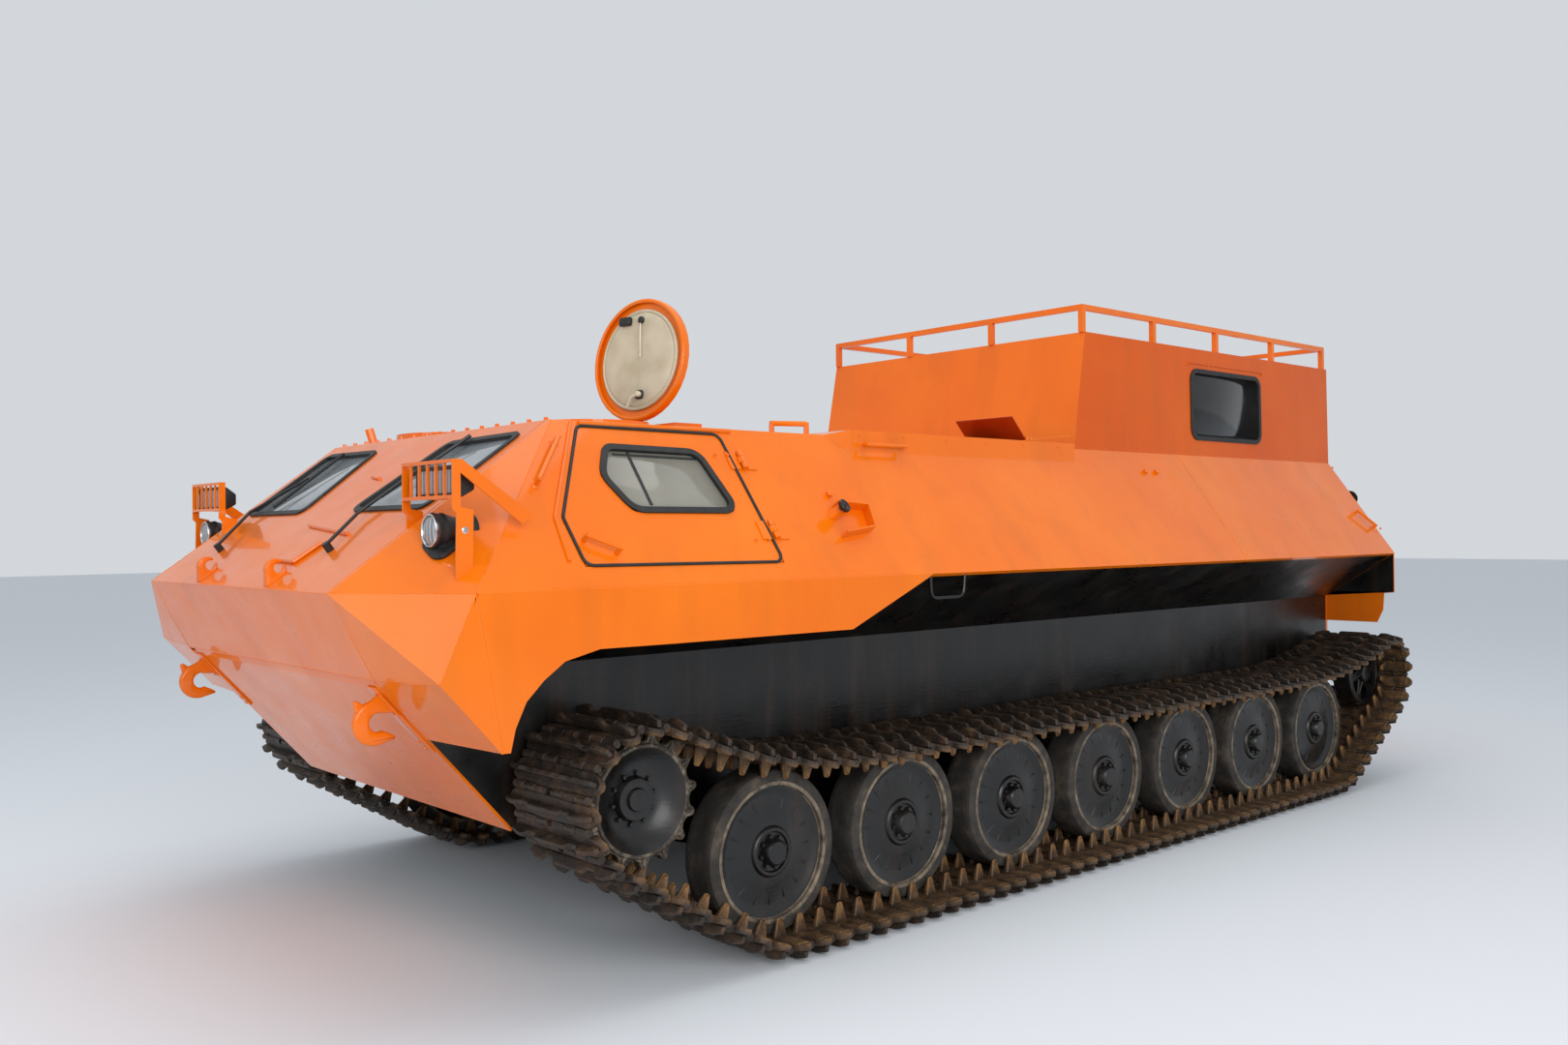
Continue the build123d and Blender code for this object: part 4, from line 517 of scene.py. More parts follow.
def join(name, pieces):
    """One piece made of several."""
    bpy.ops.object.select_all(action="DESELECT")
    for piece in pieces:
        piece.select_set(True)
    bpy.context.view_layer.objects.active = pieces[0]
    if len(pieces) > 1:
        bpy.ops.object.join()
    pieces[0].name = name
    return pieces[0]


def copy(piece, name, move=(0, 0, 0), turn=None):
    """A copy with a mesh of its own, turned and moved in its mesh."""
    made = piece.copy()
    made.data = piece.data.copy()
    made.name = name
    bpy.context.scene.collection.objects.link(made)
    place = Matrix.Translation(Vector(move))
    made.data.transform(place @ turn if turn else place)
    return made


def mirrored(piece, name):
    """The same piece on the other side of the vehicle, with its normals turned out again."""
    made = copy(piece, name, turn=Matrix.Scale(-1, 4, (1, 0, 0)))
    edit(made)
    turn_out()
    return close(made)


def finish(piece, slot, body="hull", node=None, angle=35.0, material=None):
    """Give a piece its material and shading, its body, and the CAD node whose place it takes."""
    piece.data.materials.clear()
    piece.data.materials.append(material or SLOT_FINISH[slot])
    only(piece)
    bpy.ops.object.shade_smooth_by_angle(angle=math.radians(angle))
    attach(piece, body)
    if node:
        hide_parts(node)


def both_sides(piece, slot, body="hull", node=None, **options):
    """A finished left piece and its mirrored twin; {} in a body or node stands for the side."""
    name = piece.name
    twin = mirrored(piece, name + "_right")
    piece.name = name + "_left"
    for made, side in ((piece, "left"), (twin, "right")):
        finish(made, slot, body.format(side), node and node.format(side), **options)


# Running gear, in mm
TRACK_X = 1265.0
SHOE_PITCH = 111.0
WHEEL_PIN_R = 345.0
WHEEL_STATIONS = [1660.0 + 760.0 * i for i in range(7)]
WHEEL_Z = 395.0
SPROCKET = (950.0, 717.0)
SPROCKET_PIN_R, SPROCKET_TIP_R, SPROCKET_HOLE_R = 267.0, 245.0, 186.0
SPROCKET_TEETH = 15
SPROCKET_LEAVE = math.radians(24.0)
IDLER = (6945.0, 685.0)
IDLER_PIN_R = 230.0
IDLER_LEAVE = math.radians(17.5)
TOP_RUN_Z = 740.0


def lower_tangent(c0, r0, c1, r1):
    """The angle at which a straight run below two wheels leaves them."""
    dx, dz = c1[0] - c0[0], c1[1] - c0[1]
    return math.atan2(dz, dx) - math.acos((r0 - r1) / math.hypot(dx, dz))


def track_path():
    """The closed line of the track's pins, as points of station and height a few mm apart."""
    first, last = (WHEEL_STATIONS[0], WHEEL_Z), (WHEEL_STATIONS[-1], WHEEL_Z)
    down, top = -math.pi / 2, math.pi / 2
    rear = lower_tangent(last, WHEEL_PIN_R, IDLER, IDLER_PIN_R)
    front = lower_tangent(SPROCKET, SPROCKET_PIN_R, first, WHEEL_PIN_R)
    leave, meet = top + IDLER_LEAVE, top - SPROCKET_LEAVE
    points = []

    def on(centre, radius, angle):
        return (centre[0] + radius * math.cos(angle), centre[1] + radius * math.sin(angle))

    def sweep(centre, radius, a0, a1):
        count = max(2, int(abs(radius * (a1 - a0)) / 5))
        points.extend(on(centre, radius, a0 + (a1 - a0) * i / count) for i in range(count + 1))

    def slack(end, turn, a0, a1):
        """The top run's sag from or to a wheel, an arc whose centre lies above it."""
        radius = (end[1] - TOP_RUN_Z) / (1 - math.cos(turn))
        sweep((end[0] + radius * math.sin(turn), TOP_RUN_Z + radius), -radius, a0, a1)

    sweep(last, WHEEL_PIN_R, down, rear)
    sweep(IDLER, IDLER_PIN_R, rear, leave)
    slack(points[-1], -IDLER_LEAVE, leave, top)
    slack(on(SPROCKET, SPROCKET_PIN_R, meet), SPROCKET_LEAVE, top, meet)
    sweep(SPROCKET, SPROCKET_PIN_R, meet, front + math.tau)
    sweep(first, WHEEL_PIN_R, front, down)
    return [on(first, WHEEL_PIN_R, down)] + points


def shoe_places():
    """The middle of every shoe and the direction it lies in, evenly spread along the track."""
    points = track_path()
    lengths = [0.0]
    for a, b in zip(points, points[1:]):
        lengths.append(lengths[-1] + math.dist(a, b))
    total = lengths[-1]
    count = round(total / SHOE_PITCH)
    pitch = total / count

    def along(distance):
        distance %= total
        i = next(k for k in range(1, len(lengths)) if lengths[k] >= distance)
        share = (distance - lengths[i - 1]) / (lengths[i] - lengths[i - 1] or 1.0)
        a, b = points[i - 1], points[i]
        return Vector((a[0] + (b[0] - a[0]) * share, a[1] + (b[1] - a[1]) * share))

    places = []
    for i in range(count):
        a, b = along((i - 0.5) * pitch), along((i + 0.5) * pitch)
        places.append(((a + b) / 2, math.atan2(b[1] - a[1], b[0] - a[0])))
    return places


# One shoe lies flat with its ground side down (-Z), its length along Y and its width along X.
SHOE_PLAN = [(-284, -8), (-262, -30), (-225, -42), (-160, -40), (-60, -44), (60, -44), (160, -40),
             (225, -42), (262, -30), (284, -8), (284, 10), (262, 32), (225, 42), (160, 38), (60, 44),
             (-60, 44), (-160, 38), (-225, 42), (-262, 32), (-284, 10)]
SHOE_HALF = 282.0
SHOE_DROOP = (228.0, 0.16)
# The grouser's edge across the shoe, as reach and depth below the pins
GROUSER = [(-272, 8), (-268, 34), (-214, 49), (-178, 49), (-158, 30), (-112, 30), (-92, 49), (92, 49),
           (112, 30), (158, 30), (178, 49), (214, 49), (268, 34), (272, 8)]
KNUCKLES = {-1: (-205, -52, 128), 1: (-128, 52, 205)}
KNUCKLE_SECTION = [(-36, 0), (-36, 14), (-33, 17), (33, 17), (36, 14), (36, 0)]
SHOE_RIB = [(-34, 8), (36, 8), (30, 22), (-26, 22)]
HORN_REACH = 106.0
HORN_FOOT, HORN_TOP = (76, 30, -6), (24, 14, 86)


def horn(reach):
    """A guide horn: a tapered block with a hollow pressed into both its sides."""
    piece = cube("guide_horn")
    for vertex in piece.data.vertices:
        wide, thick, height = HORN_TOP if vertex.co.z > 0 else HORN_FOOT
        vertex.co = Vector((reach + vertex.co.x * thick, vertex.co.y * wide, height)) * MM
    edit(piece)
    bpy.ops.mesh.bevel(offset=5 * MM, segments=1, affect="EDGES")
    mesh = bmesh.from_edit_mesh(piece.data)
    bpy.ops.mesh.select_all(action="DESELECT")
    for face in mesh.faces:
        if abs(face.normal.x) > 0.9 and face.calc_area() > 0.0012:
            face.select = True
    bmesh.update_edit_mesh(piece.data)
    bpy.ops.mesh.inset(thickness=9 * MM, depth=-7 * MM, use_individual=True)
    return close(piece)


def shoe():
    """One cast track shoe: a waisted plate with drooping tips, pin knuckles, a grouser and horns."""
    web = plate("shoe_web", [Vector((x, y, -12)) * MM for x, y in SHOE_PLAN], (0, 0, 0.026), 4.0, 1)
    start, droop = SHOE_DROOP
    for vertex in web.data.vertices:
        reach = abs(vertex.co.x) / MM
        if reach > start:
            vertex.co.z += (reach - start) * droop * MM
            vertex.co.x = math.copysign(min(reach, SHOE_HALF), vertex.co.x) * MM
    grouser = plate("grouser", [Vector((x, -9, -z)) * MM for x, z in GROUSER], (0, 0.018, 0), 3.0, 1)
    knuckles = [turned("knuckle", KNUCKLE_SECTION, Vector((reach, side * SHOE_PITCH / 2, -1)) * MM, steps=8)
                for side, reaches in KNUCKLES.items() for reach in reaches]
    horns = [horn(reach) for reach in (-HORN_REACH, HORN_REACH)]
    ribs = [plate("rib", [Vector((reach, y, z)) * MM for y, z in SHOE_RIB], (0.014, 0, 0), 3.0, 1)
            for reach in (-252, 238)]
    return join("shoe", [web, grouser] + knuckles + horns + ribs)


def tracks():
    """Both tracks, each one loop of shoes that takes the place of its CAD node."""
    pattern = shoe()
    # What stands on the wheels' side of the pins is marked, for the rust that gathers on the horns.
    mark = pattern.data.attributes.new("horn", "FLOAT", "POINT")
    for vertex, value in zip(pattern.data.vertices, mark.data):
        value.value = min(1.0, max(0.0, (vertex.co.z / MM - 12) / 14))
    made = [copy(pattern, f"shoe_{i}", at(TRACK_X, *middle), Matrix.Rotation(angle, 4, "X"))
            for i, (middle, angle) in enumerate(shoe_places())]
    track = join("track_left_shoes", made)
    bpy.data.objects.remove(pattern)
    twin = mirrored(track, "track_right_shoes")
    finish(track, "track_steel", node="track_left", angle=30.0)
    finish(twin, "track_steel", node="track_right", angle=30.0)


# Road wheels: half sections as (reach outward from the wheel's middle, radius)
TYRE_SECTION = [(-82, 282), (-82, 314), (-78, 323), (-66, 329), (-40, 330), (40, 330), (66, 329),
                (78, 323), (82, 314), (82, 282)]
RIM_SECTION = [(-84, 262), (-84, 281), (-80, 283), (80, 283), (84, 281), (84, 270), (82, 266), (66, 264),
               (60, 258), (-60, 258)]
DISC_SECTION = [(-30, 0), (-30, 90), (20, 262), (64, 262), (60, 248), (50, 232), (46, 210), (58, 150),
                (64, 104), (72, 100), (76, 94), (76, 82), (68, 76), (68, 60), (98, 52), (106, 44), (108, 0)]
DRUM_SECTION = [(-150, 0), (-150, 172), (-100, 160), (100, 160), (150, 172), (170, 190), (188, 196),
                (190, 190), (176, 176), (156, 156), (136, 128), (126, 104), (124, 84), (136, 80),
                (150, 74), (152, 60), (150, 44), (160, 38), (162, 0)]
LIP_SECTION = [(34, 190), (34, 202), (39, 206), (43, 202), (43, 196), (40, 190)]
IDLER_RIM = [(-60, 180), (-60, 208), (-54, 213), (54, 213), (60, 208), (60, 180), (52, 176), (-52, 176)]
IDLER_HUB = [(-75, 0), (-75, 62), (60, 62), (70, 58), (76, 48), (78, 30), (76, 0)]
# Ribs and spokes: corners as (radius, distance across the spoke, reach outward)
DISC_RIB = [(108, -4, 58), (108, 4, 58), (236, 6, 40), (236, -6, 40)]
TOOTH_RIB = [(200, -9, 35), (237, -5, 35), (237, 5, 35), (200, 9, 35)]
SPOKE = [(54, -36, 22), (120, -24, 22), (182, -40, 22), (182, 40, 22), (120, 24, 22), (54, 36, 22)]
SPOKE_RIB = [(56, -6, -30), (180, -6, -30), (180, -6, 40), (56, -6, 58)]


def on_wheel(centre, angle, radius, wide=0.0, reach=0.0):
    """A point of a wheel: along a spoke at an angle, across it, and outward."""
    along = Vector((0, math.cos(angle), math.sin(angle)))
    across = Vector((0, -math.sin(angle), math.cos(angle)))
    return centre + (along * radius + across * wide + OUT * reach) * MM


def ribs_round(name, centre, count, start, corners, thick, bevel, upright=False):
    """Ribs evenly round a wheel, each as thick outward as given, or across its spoke if upright."""
    made = []
    for i in range(count):
        angle = start + math.tau * i / count
        move = Vector((0, -math.sin(angle), math.cos(angle))) if upright else OUT
        outline = [on_wheel(centre, angle, *corner) for corner in corners]
        made.append(plate(name, outline, move * thick * MM, bevel, 1))
    return made


def hub_nuts(centre, count, radius, reach, size, height):
    """Hexagonal nuts in a circle on a hub."""
    section = [(-4, 0), (-4, size), (height - 3, size), (height, size * 0.8), (height, 0)]
    return [turned("nut", section, on_wheel(centre, math.tau * (i + 0.25) / count, radius, 0, reach),
                   steps=6) for i in range(count)]


def road_wheels():
    """Fourteen wheels, each a dished disc with bolts, a worn rim and a thick tyre."""
    station = WHEEL_STATIONS[0]
    centre = at(TRACK_X, station, WHEEL_Z)
    disc = join("wheel_disc", [turned("disc", DISC_SECTION, centre, steps=56)]
                + ribs_round("disc_rib", centre, 16, 0.0, DISC_RIB, 5, 2.2)
                + hub_nuts(centre, 8, 62, 66, 11, 16))
    rim = turned("wheel_rim", RIM_SECTION, centre, steps=64)
    tyre = turned("wheel_tyre", TYRE_SECTION, centre, steps=64)
    for pattern, slot, node, material in ((disc, "black_paint", "road_wheels", None),
                                          (rim, "black_paint", "road_wheels", WORN_RIM),
                                          (tyre, "tyre_rubber", "road_wheel_tyres", None)):
        for side, base in (("left", pattern), ("right", mirrored(pattern, "base"))):
            for i, place in enumerate(WHEEL_STATIONS):
                piece = copy(base, f"{pattern.name}_{side}_{i + 1}", (0, (place - station) * MM, 0))
                finish(piece, slot, node=node, angle=32.0, material=material)
        bpy.data.objects.remove(base)
        bpy.data.objects.remove(pattern)


def toothed_ring(reach):
    """A sprocket ring with waisted teeth and a raised lip round its hole."""
    root, tip = SPROCKET_TIP_R - 34, SPROCKET_TIP_R
    centre = at(TRACK_X + reach, *SPROCKET)
    outer, inner = [], []
    for i in range(SPROCKET_TEETH):
        for share, radius in ((0.02, root + 6), (0.14, tip - 6), (0.20, tip), (0.36, tip),
                              (0.42, tip - 6), (0.54, root + 6), (0.78, root)):
            angle = math.tau * (i + share) / SPROCKET_TEETH
            outer.append(on_wheel(centre, angle, radius))
            inner.append(on_wheel(centre, angle, SPROCKET_HOLE_R))
    ring = ring_plate("ring", outer, inner, (0.036, 0, 0), 3.5)
    lip = turned("lip", LIP_SECTION, centre, steps=64)
    ribs = ribs_round("tooth_rib", centre, SPROCKET_TEETH, math.tau * 0.28 / SPROCKET_TEETH, TOOTH_RIB,
                      5, 1.5)
    return join("toothed_ring", [ring, lip] + ribs)


def sprockets():
    """The drive sprockets: two toothed rings on a drum, and a deep smooth dish with a bolted hub."""
    centre = at(TRACK_X, *SPROCKET)
    dish = join("sprocket_dish", [turned("dish", DRUM_SECTION, centre, steps=64)]
                + hub_nuts(centre, 10, 92, 124, 9, 12))
    both_sides(dish, "black_paint", node="sprockets", angle=40.0)
    rings = join("sprocket_rings", [toothed_ring(150), toothed_ring(-190)])
    both_sides(rings, "black_paint", node="sprockets", angle=30.0, material=WORN_STEEL)


def idlers():
    """The idlers: a flanged rim, six webbed spokes and a capped hub."""
    centre = at(TRACK_X, *IDLER)
    parts = [turned("idler_rim", IDLER_RIM, centre, steps=56),
             turned("idler_hub", IDLER_HUB, centre, steps=32)]
    parts += ribs_round("spoke", centre, 6, 0.2, SPOKE, 22, 4.0)
    parts += ribs_round("spoke_rib", centre, 6, 0.2, SPOKE_RIB, 12, 3.0, upright=True)
    both_sides(join("idler_wheel", parts), "black_paint", node="idlers", angle=32.0)


# Hull faces, in mm
CHINE = (1425.0, 1481.0)
ROOF = (998.0, 2109.0)
BODY_TOP = (991.0, 2766.0)
GLACIS_FOOT = 1480.0
GLACIS_RISE = 0.7305
SLOPE_OUT = Vector((0.827, 0, 0.562))
NOSE_FOOT, BOW_BEND = (160.0, 1176.0), (705.0, 566.0)
BOW_OUT = Vector((0, -0.746, -0.666))


def on_glacis(x, station, out=0.0):
    """A point over the glacis, out mm off its face."""
    length = math.hypot(1, GLACIS_RISE)
    return at(x, station - out * GLACIS_RISE / length, GLACIS_FOOT + GLACIS_RISE * station + out / length)


def on_slope(station, z, out=0.0):
    """A point over the left sloped side, at a station and height, out mm off its face."""
    share = (z - CHINE[1]) / (ROOF[1] - CHINE[1])
    x = CHINE[0] + (ROOF[0] - CHINE[0]) * share
    return at(x + out * SLOPE_OUT.x, station, z + out * SLOPE_OUT.z)


def on_body(station, z, out=0.0):
    """A point over the passenger body's left side."""
    share = (z - ROOF[1]) / (BODY_TOP[1] - ROOF[1])
    return at(ROOF[0] + (BODY_TOP[0] - ROOF[0]) * share + out, station, z)


def on_bow(z, proud):
    """A station and height off the bow plate's face."""
    run, fall = BOW_BEND[0] - NOSE_FOOT[0], BOW_BEND[1] - NOSE_FOOT[1]
    length = math.hypot(run, fall)
    station = NOSE_FOOT[0] + run * (z - NOSE_FOOT[1]) / fall
    return station + fall / length * proud, z - run / length * proud


def normal_of(points):
    """The direction out of a closed outline."""
    a, b, c = points[0], points[len(points) // 3], points[2 * len(points) // 3]
    return (b - a).cross(c - a).normalized()


QUARTER_FOOT = at(982, 0, 1480)
QUARTER_OUT = normal_of([QUARTER_FOOT, at(1425, 312, 1481), at(998, 861, 2109)])


def on_quarter(x, station, out=0.0):
    """A point over the left quarter plate, out mm off its face."""
    place = at(x, station, 0)
    rise = -(place - QUARTER_FOOT).dot(QUARTER_OUT) / QUARTER_OUT.z
    return place + UP * rise + QUARTER_OUT * out * MM


def soft_loop(points, radius, steps=8):
    """A closed outline in metres with its corners rounded to a radius in mm, or to one each."""
    out = []
    radii = radius if isinstance(radius, list) else [radius] * len(points)
    for i, corner in enumerate(points):
        to, away = points[i - 1] - corner, points[(i + 1) % len(points)] - corner
        half = to.angle(away) / 2
        cut = min(radii[i] * MM / math.tan(half), to.length * 0.48, away.length * 0.48)
        a, b = corner + to.normalized() * cut, corner + away.normalized() * cut
        r = cut * math.tan(half)
        middle = corner + (to.normalized() + away.normalized()).normalized() * (r / math.sin(half))
        for k in range(steps + 1):
            ray = (a - middle).normalized().slerp((b - middle).normalized(), k / steps)
            out.append(middle + ray * r)
    return out


def rubber_frame(name, outline, out, width, proud, depth):
    """A rubber profile round an opening: a filled loop, inset, opened, sunk and rounded over."""
    piece = ring_of(name, [p + out * proud * MM for p in outline], "NGON")
    edit(piece)
    bpy.ops.mesh.inset(thickness=width * MM)
    bpy.ops.mesh.delete(type="FACE")
    pull(-out * (proud + depth) * MM)
    mesh = bmesh.from_edit_mesh(piece.data)
    bpy.ops.mesh.select_all(action="DESELECT")
    top = max((v.co - outline[0]).dot(out) for v in mesh.verts)
    for edge in mesh.edges:
        level = all((v.co - outline[0]).dot(out) > top - 0.0005 for v in edge.verts)
        walls = [f for f in edge.link_faces if abs(f.normal.dot(out)) < 0.3]
        edge.select = level and len(walls) == 1
    bmesh.update_edit_mesh(piece.data)
    bpy.ops.mesh.bevel(offset=min(width * 0.32, proud + 2) * MM, segments=3, affect="EDGES")
    return close(piece)


def inward(outline, width):
    """An outline drawn in by a width in mm, towards its own middle."""
    out = []
    face = normal_of(outline)
    for i, point in enumerate(outline):
        before, after = outline[i - 1], outline[(i + 1) % len(outline)]
        out.append(point + face.cross((after - before).normalized()) * width * MM)
    return out


# Window outlines as in the hull: on the glacis, on the sloped side and on the body's side
WINDSHIELD = [(247, 396), (891, 396), (914, 797), (340, 785)]
DOOR_WINDOW = [(983, 1893), (1070, 1753), (1592, 1750), (1511, 2007), (1052, 2015)]
BODY_WINDOW = rectangle(5370, 2210, 6210, 2640)
DOOR_OUTLINE = [(748, 1733), (769, 1557), (1705, 1550), (1660, 2084), (965, 2090)]
RUBBER_LAP, RUBBER_WIDE, RUBBER_PROUD, RUBBER_DEEP = 5, 27, 8, 20
GLASS_IN, GLASS_DEEP, GLASS_THICK = 21, 8, 6
# Name, corners, corner radius of the opening, radii of the rubber, body, and the nodes replaced
WINDOWS = [
    ("windshield", [on_glacis(*p) for p in WINDSHIELD], 44, [56] * 4, "hull",
     "fixed_window_seals", "fixed_windows"),
    ("body_window", [on_body(*p) for p in BODY_WINDOW], 62, [74] * 4, "hull",
     "fixed_window_seals", "fixed_windows"),
    ("door_window", [on_slope(*p) for p in DOOR_WINDOW], 50, [96, 96, 62, 80, 62], "side_door_{}_body",
     "door_seal_{}", "door_window_{}"),
]


def windows():
    """Rubber frames and glass for the windshields, door windows and body windows."""
    for name, corners, radius, radii, body, seal_node, glass_node in WINDOWS:
        outline = soft_loop(corners, radius)
        out = normal_of(outline)
        if out.z < 0 or out.x < -0.5:
            out = -out
            outline = outline[::-1]
        lap = -RUBBER_LAP if normal_of(corners).dot(out) > 0 else RUBBER_LAP
        rubber = soft_loop(inward(corners, lap), radii)
        if normal_of(rubber).dot(out) < 0:
            rubber = rubber[::-1]
        seal = rubber_frame(name + "_rubber", rubber, out, RUBBER_WIDE, RUBBER_PROUD, RUBBER_DEEP)
        glass = plate(name + "_glass", [p - out * GLASS_DEEP * MM for p in inward(outline, GLASS_IN)],
                      -out * GLASS_THICK * MM, 1.2, 1)
        both_sides(seal, "black_rubber", body, seal_node, angle=50)
        both_sides(glass, "window_glass", body, glass_node, angle=50, material=WINDOW_FINISH[name])


def window_dividers():
    """The sliding panes' uprights: a dark bar and rail in each door and body window."""
    body_bars = [(rectangle(5795, 2236, 5821, 2614), 6), (rectangle(5850, 2236, 5876, 2614), 6),
                 (rectangle(5400, 2232, 6180, 2244), 8), (rectangle(5400, 2606, 6180, 2618), 8)]
    bars = [plate("bar", [on_body(*p, -18) for p in corners], (-thick * MM, 0, 0), 1.5, 1)
            for corners, thick in body_bars]
    both_sides(join("body_window_bars", bars), "black_plastic")
    door_bars = [[(1166, 1784), (1180, 1784), (1166, 1992), (1152, 1992)],
                 [(1085, 1979), (1496, 1971), (1496, 1979), (1085, 1987)]]
    bars = [plate("bar", [on_slope(*p, -4) for p in corners], (-0.003, 0, -0.002), 1.2, 1)
            for corners in door_bars]
    both_sides(join("door_window_bars", bars), "black_plastic", "side_door_{}_body")


def ring_rod(name, loop, radius, sides):
    """A rod along a closed outline."""
    return rod(name, loop + [loop[0]], radius, sides)


def door_rubber():
    """The rubber bead that fills the gap round each side door, fixed to the hull."""
    outline = soft_loop([on_slope(*p, 2.5) for p in DOOR_OUTLINE], 42, 6)
    both_sides(ring_rod("door_rubber", inward(outline, 3), 6.5, 3), "black_rubber", angle=50)


# A weld bead's rings stand this far apart and rise and fall this much, in metres
WELD_STEP, WELD_WAVE = 0.016, 0.0005


def weld(ends, radius, seed):
    """A weld bead: a thin rod whose rings are pinched and swollen along it."""
    points = []
    for a, b in zip(ends, ends[1:]):
        count = max(2, int((b - a).length / WELD_STEP))
        points += [a + (b - a) * i / count for i in range(count)]
    points.append(ends[-1])
    piece = rod("weld", points, radius, 1)
    for vertex in piece.data.vertices:
        wave = math.sin(vertex.co.x * 310 + seed) + math.sin(vertex.co.y * 330) + math.sin(vertex.co.z * 290)
        vertex.co += UP * wave * WELD_WAVE
    return piece


def weld_seams():
    """Painted weld beads along the joints of the front plates and down the sloped side."""
    sunk = 1.8
    knots = {"a": at(982 - sunk, 3.4, 1480), "n": at(985 - sunk, 160 + sunk, 1176),
             "k": at(1425 - sunk, 180 + sunk, 1195), "c": at(1425 - sunk, 312 + sunk, 1481),
             "l": at(1425 - sunk, 404 + sunk, 948), "m": at(950, 371 + sunk, 940),
             "r": at(998 - sunk, 861 + sunk, 2109 - sunk)}
    beads = [weld([knots[i] for i in path], 3.2, seed)
             for seed, path in enumerate(("ac", "ck", "cl", "nk", "nm", "ar", "cr", "an"))]
    beads.append(weld([on_slope(5240, 1484, -1.2), on_slope(5205, 2100, -1.2)], 3.0, 11))
    beads.append(weld([on_slope(station, 1488, -1.2) for station in (600, 1560, 2400)], 2.6, 12))
    both_sides(join("hull_welds", beads), "orange_paint", angle=60)
    middle = [weld([at(-982, 3.4, 1481.5), at(982, 3.4, 1481.5)], 3.2, 21),
              weld([at(-950, 161, 1175), at(950, 161, 1175)], 3.2, 22),
              weld([on_glacis(960, 3, -1), on_glacis(960, 858, -1)], 2.4, 23)]
    finish(join("nose_welds", middle), "orange_paint", angle=60)


def arc(centre, radius, start, end, count):
    """Points along an arc, from one angle in degrees to another."""
    angles = [math.radians(start + (end - start) * i / count) for i in range(count + 1)]
    return [(centre[0] + radius * math.cos(a), centre[1] + radius * math.sin(a)) for a in angles]


def slab(name, x0, x1, outline, bevel=2.0, segments=2):
    """A plate seen from the side: stations and heights, from x0 to x1."""
    return plate(name, [at(x0, *point) for point in outline], ((x1 - x0) * MM, 0, 0), bevel, segments)


def bolt(place, out, size=7.0, height=6.0):
    """A hexagonal bolt head on a round washer."""
    side = Vector(out).orthogonal()
    washer = turned("washer", [(-1, 0), (-1, size * 1.45), (1.2, size * 1.45), (1.8, size * 1.3), (1.8, 0)],
                    place, out, side, 14)
    head = turned("head", [(0, 0), (0, size), (height - 1.5, size), (height, size * 0.82), (height, 0)],
                  place, out, side, 6)
    return join("bolt", [washer, head])


# Forged hooks: the upright hook on the glacis and the tow hook with its flange on the bow plate
HOOK_X, HOOK_THICK, HOOK_CENTRE, HOOK_R, HOOK_THROAT_R = 380.0, 30.0, (47.0, 1556.0), 39.0, 19.0
TOW_X, TOW_THICK, TOW_CENTRE, TOW_R, TOW_THROAT_R = 932.0, 34.0, (180.0, 1022.0), 78.0, 38.0


def lifting_hook():
    """The upright hook, with a lip at its throat and a weld along either side of its foot."""
    def foot(station, up):
        return station, GLACIS_FOOT + GLACIS_RISE * station + up
    station, z = HOOK_CENTRE
    outline = [foot(11, -2), foot(10, 12)] + arc(HOOK_CENTRE, HOOK_R, 196, 66, 18)
    outline += [(station + 23, z + 32), (station + 24, z + 27), (station + 20, z + 22)]
    outline += arc((station + 12, z + 3), HOOK_THROAT_R + 1, 84, 292, 16)
    outline += [(station + 29, z - 3), (station + 33, z + 9), (station + 38, z + 13), (station + 41, z + 9),
                (88, z - 6), foot(87, -2)]
    left, right = HOOK_X + HOOK_THICK / 2, HOOK_X - HOOK_THICK / 2
    seams = [weld([on_glacis(edge, 14, 1.5), on_glacis(edge, 82, 1.5)], 5, seed)
             for edge, seed in ((right, -1), (left, 1))]
    both_sides(join("lifting_hook", [slab("hook", right, left, outline, 5, 3)] + seams), "orange_paint",
               node="lifting_hooks", angle=50)


def tow_hook():
    """The tow hook, with the spur behind its crown, its flange on the bow, two bolts and two welds."""
    station, z = TOW_CENTRE
    outline = [on_bow(z + 103, -2)] + arc(TOW_CENTRE, TOW_R, 100, 290, 24)
    outline += [(station + TOW_R - 6, z - 62), (station + TOW_R, z - 55), (station + TOW_R - 8, z - 46)]
    outline += arc((station + 14, z + 2), TOW_THROAT_R - 4, 300, 62, 16)
    outline += [on_bow(z + 28, -2)]
    left, right = TOW_X + TOW_THICK / 2, TOW_X - TOW_THICK / 2
    parts = [slab("hook", right, left, outline, 10, 3),
             slab("spur", right + 5, left - 5, [(station - 30, z + 62), (station - 62, z + 84),
                                                (station - 72, z + 82), (station - 74, z + 72),
                                                (station - 66, z + 40)], 6, 3),
             slab("flange", left - 70, left, [on_bow(1150, -1), on_bow(1150, 8), on_bow(900, 8),
                                              on_bow(900, -1)], 3, 2)]
    parts += [weld([at(edge, *on_bow(z + 105, 9)), at(edge, *on_bow(z + 26, 9))], 5, seed)
              for edge, seed in ((right, -1), (left, 1))]
    parts += [bolt(at(TOW_X - 30, *on_bow(height, 8)), BOW_OUT, 6, 5) for height in (915, 940)]
    both_sides(join("tow_hook", parts), "orange_paint", node="tow_hooks", angle=50)


